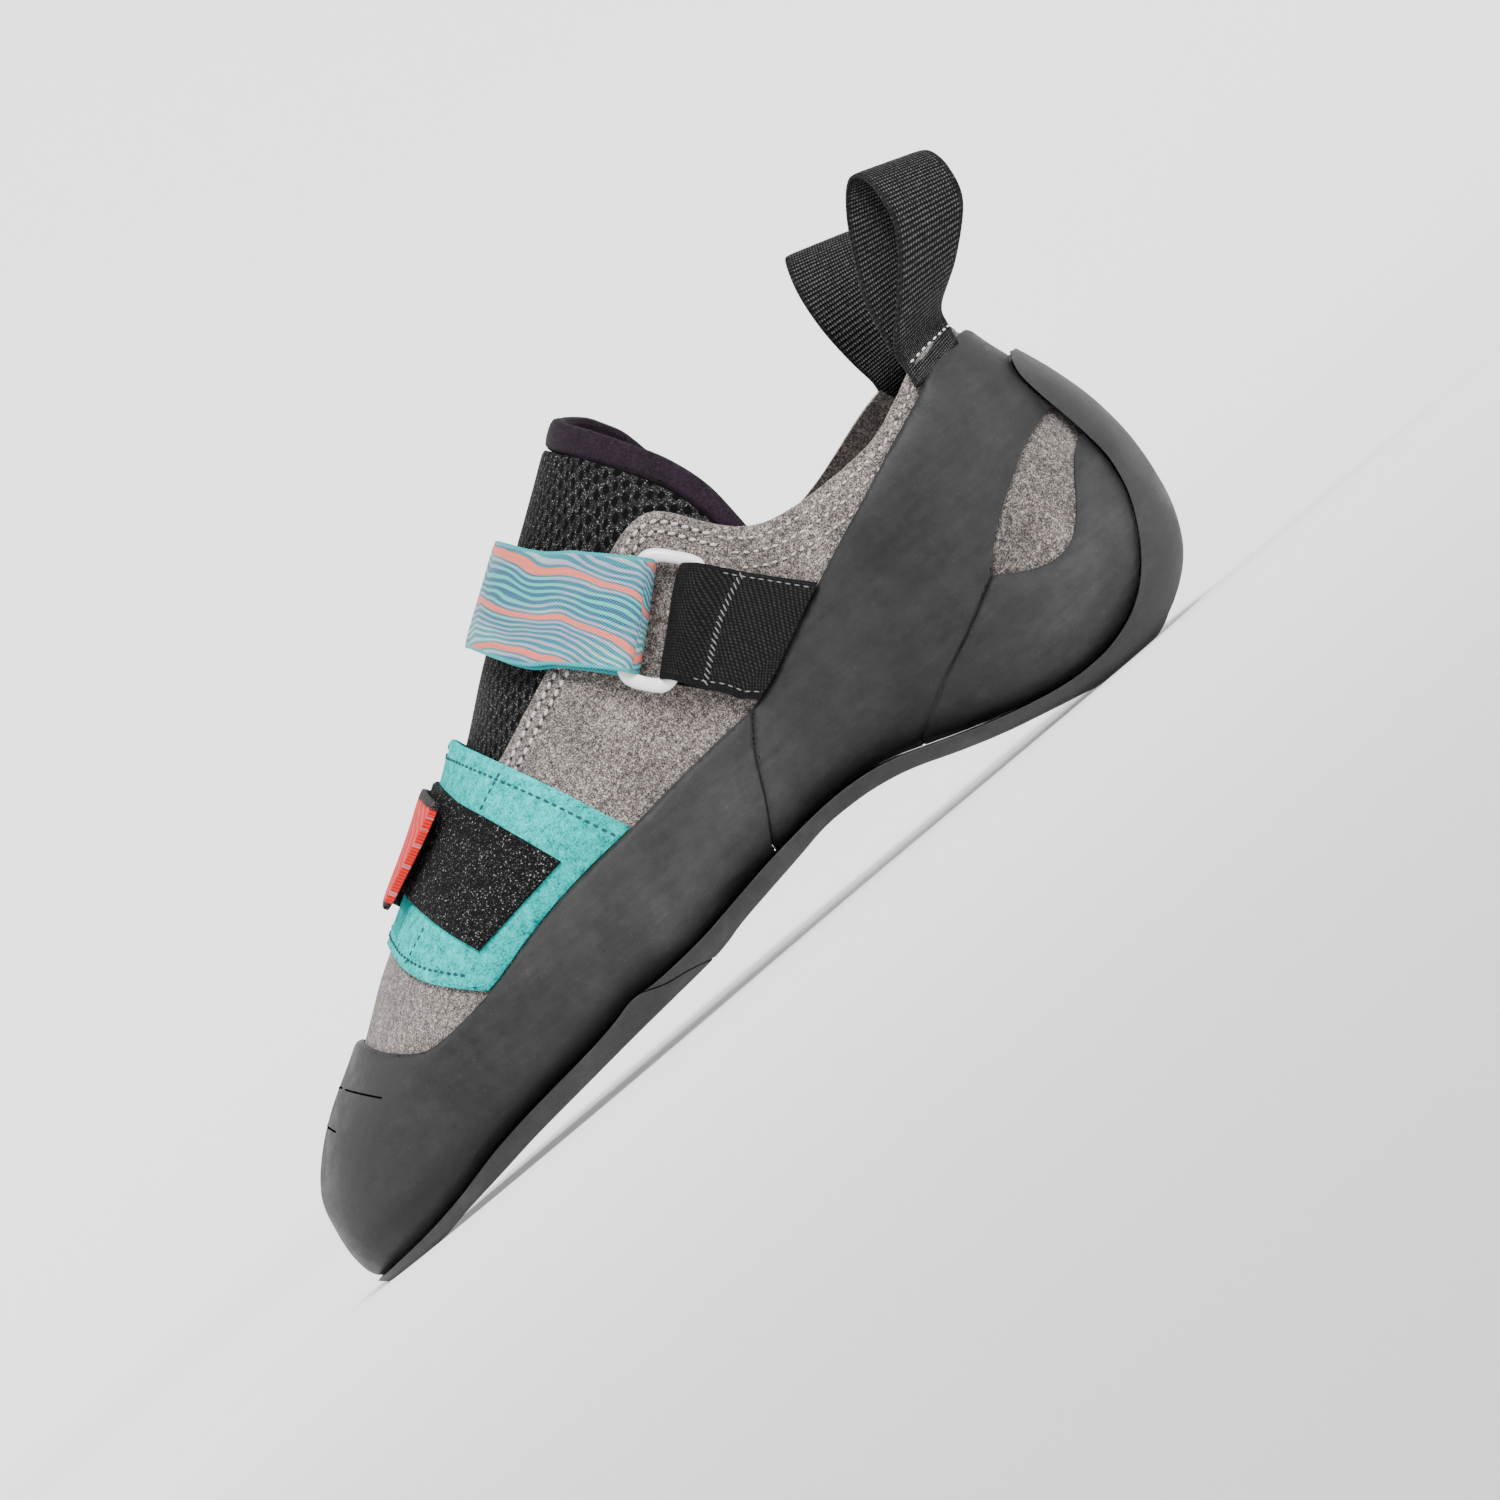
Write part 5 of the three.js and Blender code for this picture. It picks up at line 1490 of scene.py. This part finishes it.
def make_threads():
    throat = collar_runs((2.4, 4.5), 84, 158, 0.1, 2.3)
    make_stitches("throat_stitches", GREY_THREAD, "upper", throat, (1.75, 0.85, 0.75), 0.25)
    rim = collar_runs((2.6, 5.6, 8.8), 158, 217, 0.05, 2.1)
    make_stitches("collar_stitches", GREY_THREAD, "upper", rim, (1.3, 0.6, 0.5))
    # Dark discs at the needle holes of the throat stitches: painted shade in the holes.
    holes = collar_runs((2.4, 4.5), 84, 158, 0.02, 2.3, 1.0)
    make_stitches("throat_pinholes", PINHOLE, "upper", holes, (0.8, 0.75, 0.22))
    base = [(212.4, 77.0), (217.5, 77.9), (222.5, 78.4), (227.0, 78.8)]
    runs = [run_on_skin(base, -1, GAP + RAND_WALL + 0.05, 2.0)]
    make_stitches("loop_stitches", WHITE_THREAD, "pull_loop_outer", runs, (1.2, 0.5, 0.4))
    # Dark slivers standing for the shadow inside the toe rubber's slits.
    slits = [
        run_on_skin(line, -1, GAP + RAND_WALL + 0.06, 0.5)
        for line in ([(20.6, 39.4), (24.5, 35.4), (30.1, 30.0)], [(14.6, 33.8), (15.8, 32.0), (17.0, 30.4)])
    ]
    make_stitches("toe_slit_painted_shadows", SLIT, "toe_rand", slits, (0.9, 0.5, 0.12))
    panel = []
    level = GAP + PANEL_WALL + 0.02
    for side in (-1, 1):
        panel.append(run_on_skin(panel_line("panel_front", 2.6, 38), side, level, 2.0))
        panel.append(run_on_skin(panel_line("panel_back", -3.4, 40), side, level, 2.0))
    for line in ([(84.2, 62.9), (88, 64.6), (92.1, 66.3)], [(51.3, 48.3), (55.5, 50.0), (59.6, 51.7)]):
        panel.append(run_on_skin(line, -1, level, 1.9))
    make_stitches("panel_stitches", TEAL_THREAD, "vamp_panel", panel, (1.4, 0.65, 0.4))
    edges = webbing_runs([((0.73, w), (1.0, w)) for w in (0.07, 0.93)], 1.9)
    make_stitches("webbing_stitches", DARK_THREAD, "ring_webbing", edges, (1.3, 0.32, 0.4))
    cross = webbing_runs([((0.762, 0.04), (0.762, 0.96))], 1.25)
    make_stitches("webbing_zigzag", DARK_THREAD, "ring_webbing", cross, (1.9, 0.36, 0.45), 0.9)


def band_run(track, path, starts, ends, lift, pitch):
    """Stitch places on a band, from one (along, across) place to another."""
    along, across = np.linspace(starts[0], ends[0], 60), np.linspace(starts[1], ends[1], 60)
    points = band_points(track, path, along, across, lift)
    keep = clear_of_rubber(points) > 0.8
    points, along, across = points[keep], along[keep], across[keep]
    raised = band_points(track, path, along, across, lift + 0.5)
    spots, way = even_places(points, pitch)
    out = raised - points
    near = ((spots[:, None] - points[None]) ** 2).sum(-1).argmin(axis=1)
    out = out[near] / np.linalg.norm(out[near], axis=1)[:, None]
    return spots, way, out


def webbing_runs(ends, pitch):
    """Stitch places on the ring's webbing, between pairs of (along, across) places."""
    lift = WEBBING_WALL / 2 + 0.02
    return [band_run(RING_WAY, webbing_path(), first, last, lift, pitch) for first, last in ends]


make_upper()
make_insole()
make_rands()
make_soles()
make_panel()
make_patch()
make_tongue()
make_straps()
make_ring()
make_pull_loop("outer_pull_loop", "pull_loop_outer", OUTER_LOOP, -1)
make_pull_loop("inner_pull_loop", "pull_loop_inner", INNER_LOOP, 1)
make_threads()


# Studio
PHOTO_ROLL = 40.1
CAMERA_SPOT = (0.012, -1.775, 0.0372)


def make_studio():
    bm = bmesh.new()
    rim = [(0.0, 0.0), (2.4, 0.0), (2.9, 0.12), (3.25, 0.45), (3.4, 0.95), (3.45, 2.6)]
    verts = [bm.verts.new((x, 0, z)) for x, z in rim]
    edges = [bm.edges.new(pair) for pair in zip(verts, verts[1:])]
    bmesh.ops.spin(
        bm, geom=verts + edges, cent=(0, 0, 0), axis=(0, 0, 1), angle=2 * math.pi, steps=64, use_merge=True
    )
    bmesh.ops.remove_doubles(bm, verts=bm.verts, dist=1e-4)
    bmesh.ops.recalc_face_normals(bm, faces=bm.faces)
    for face in bm.faces:
        face.smooth = True
    mesh = bpy.data.meshes.new("pale_floor")
    bm.to_mesh(mesh)
    bm.free()
    floor = bpy.data.objects.new("pale_floor", mesh)
    bpy.context.scene.collection.objects.link(floor)
    paint = Finish("pale_grey_paper", Roughness=0.9, Specular_IOR_Level=0.1, Emission_Strength=0.3)
    paint.colour(grey(0.85))
    paint.shader.inputs["Emission Color"].default_value = (1, 1, 1, 1)
    mesh.materials.append(paint.material)
    world = bpy.data.worlds.new("soft_room")
    bpy.context.scene.world = world
    world.use_nodes = True
    world.node_tree.nodes["Background"].inputs[0].default_value = (1, 1, 1, 1)
    world.node_tree.nodes["Background"].inputs[1].default_value = 0.25


def hang(name, kind, turn, spot=(0, 0, 0)):
    lamp = bpy.data.lights.new(name, kind)
    holder = bpy.data.objects.new(name, lamp)
    bpy.context.scene.collection.objects.link(holder)
    holder.location = spot
    holder.rotation_euler = turn.to_euler()
    return lamp


def soft_light(name, spot, aim, size, power):
    lamp = hang(name, "AREA", (Vector(aim) - Vector(spot)).to_track_quat("-Z", "Y"), spot)
    lamp.shape = "DISK"
    lamp.size = size
    lamp.energy = power


def far_light(name, way, spread, strength):
    """Even light from far off, so that floor and backdrop are as bright as each other."""
    lamp = hang(name, "SUN", Vector(way).to_track_quat("Z", "Y"))
    lamp.angle = math.radians(spread)
    lamp.energy = strength


def make_camera():
    """The photo's view of the outer side, with the heel rolled up to the right."""
    roll = math.radians(PHOTO_ROLL)
    lens = bpy.data.cameras.new("photo_camera")
    lens.lens = 200
    lens.sensor_width = 36
    lens.clip_start = 0.05
    lens.clip_end = 20
    camera = bpy.data.objects.new("photo_camera", lens)
    bpy.context.scene.collection.objects.link(camera)
    right = Vector((math.cos(roll), 0, -math.sin(roll)))
    up = Vector((math.sin(roll), 0, math.cos(roll)))
    back = Vector((0, -1, 0))
    turn = Matrix((right, up, back)).transposed()
    camera.matrix_world = Matrix.Translation(CAMERA_SPOT) @ turn.to_4x4()
    bpy.context.scene.camera = camera


make_studio()
far_light("key", (0.25, -0.6, 0.75), 24, 5.2)
soft_light("top", (-0.8, 0.1, 1.2), (0, 0, 0.05), 0.5, 9)
soft_light("heel_side", (1.3, -0.7, 0.5), (0.05, 0, 0.04), 0.4, 7)
make_camera()
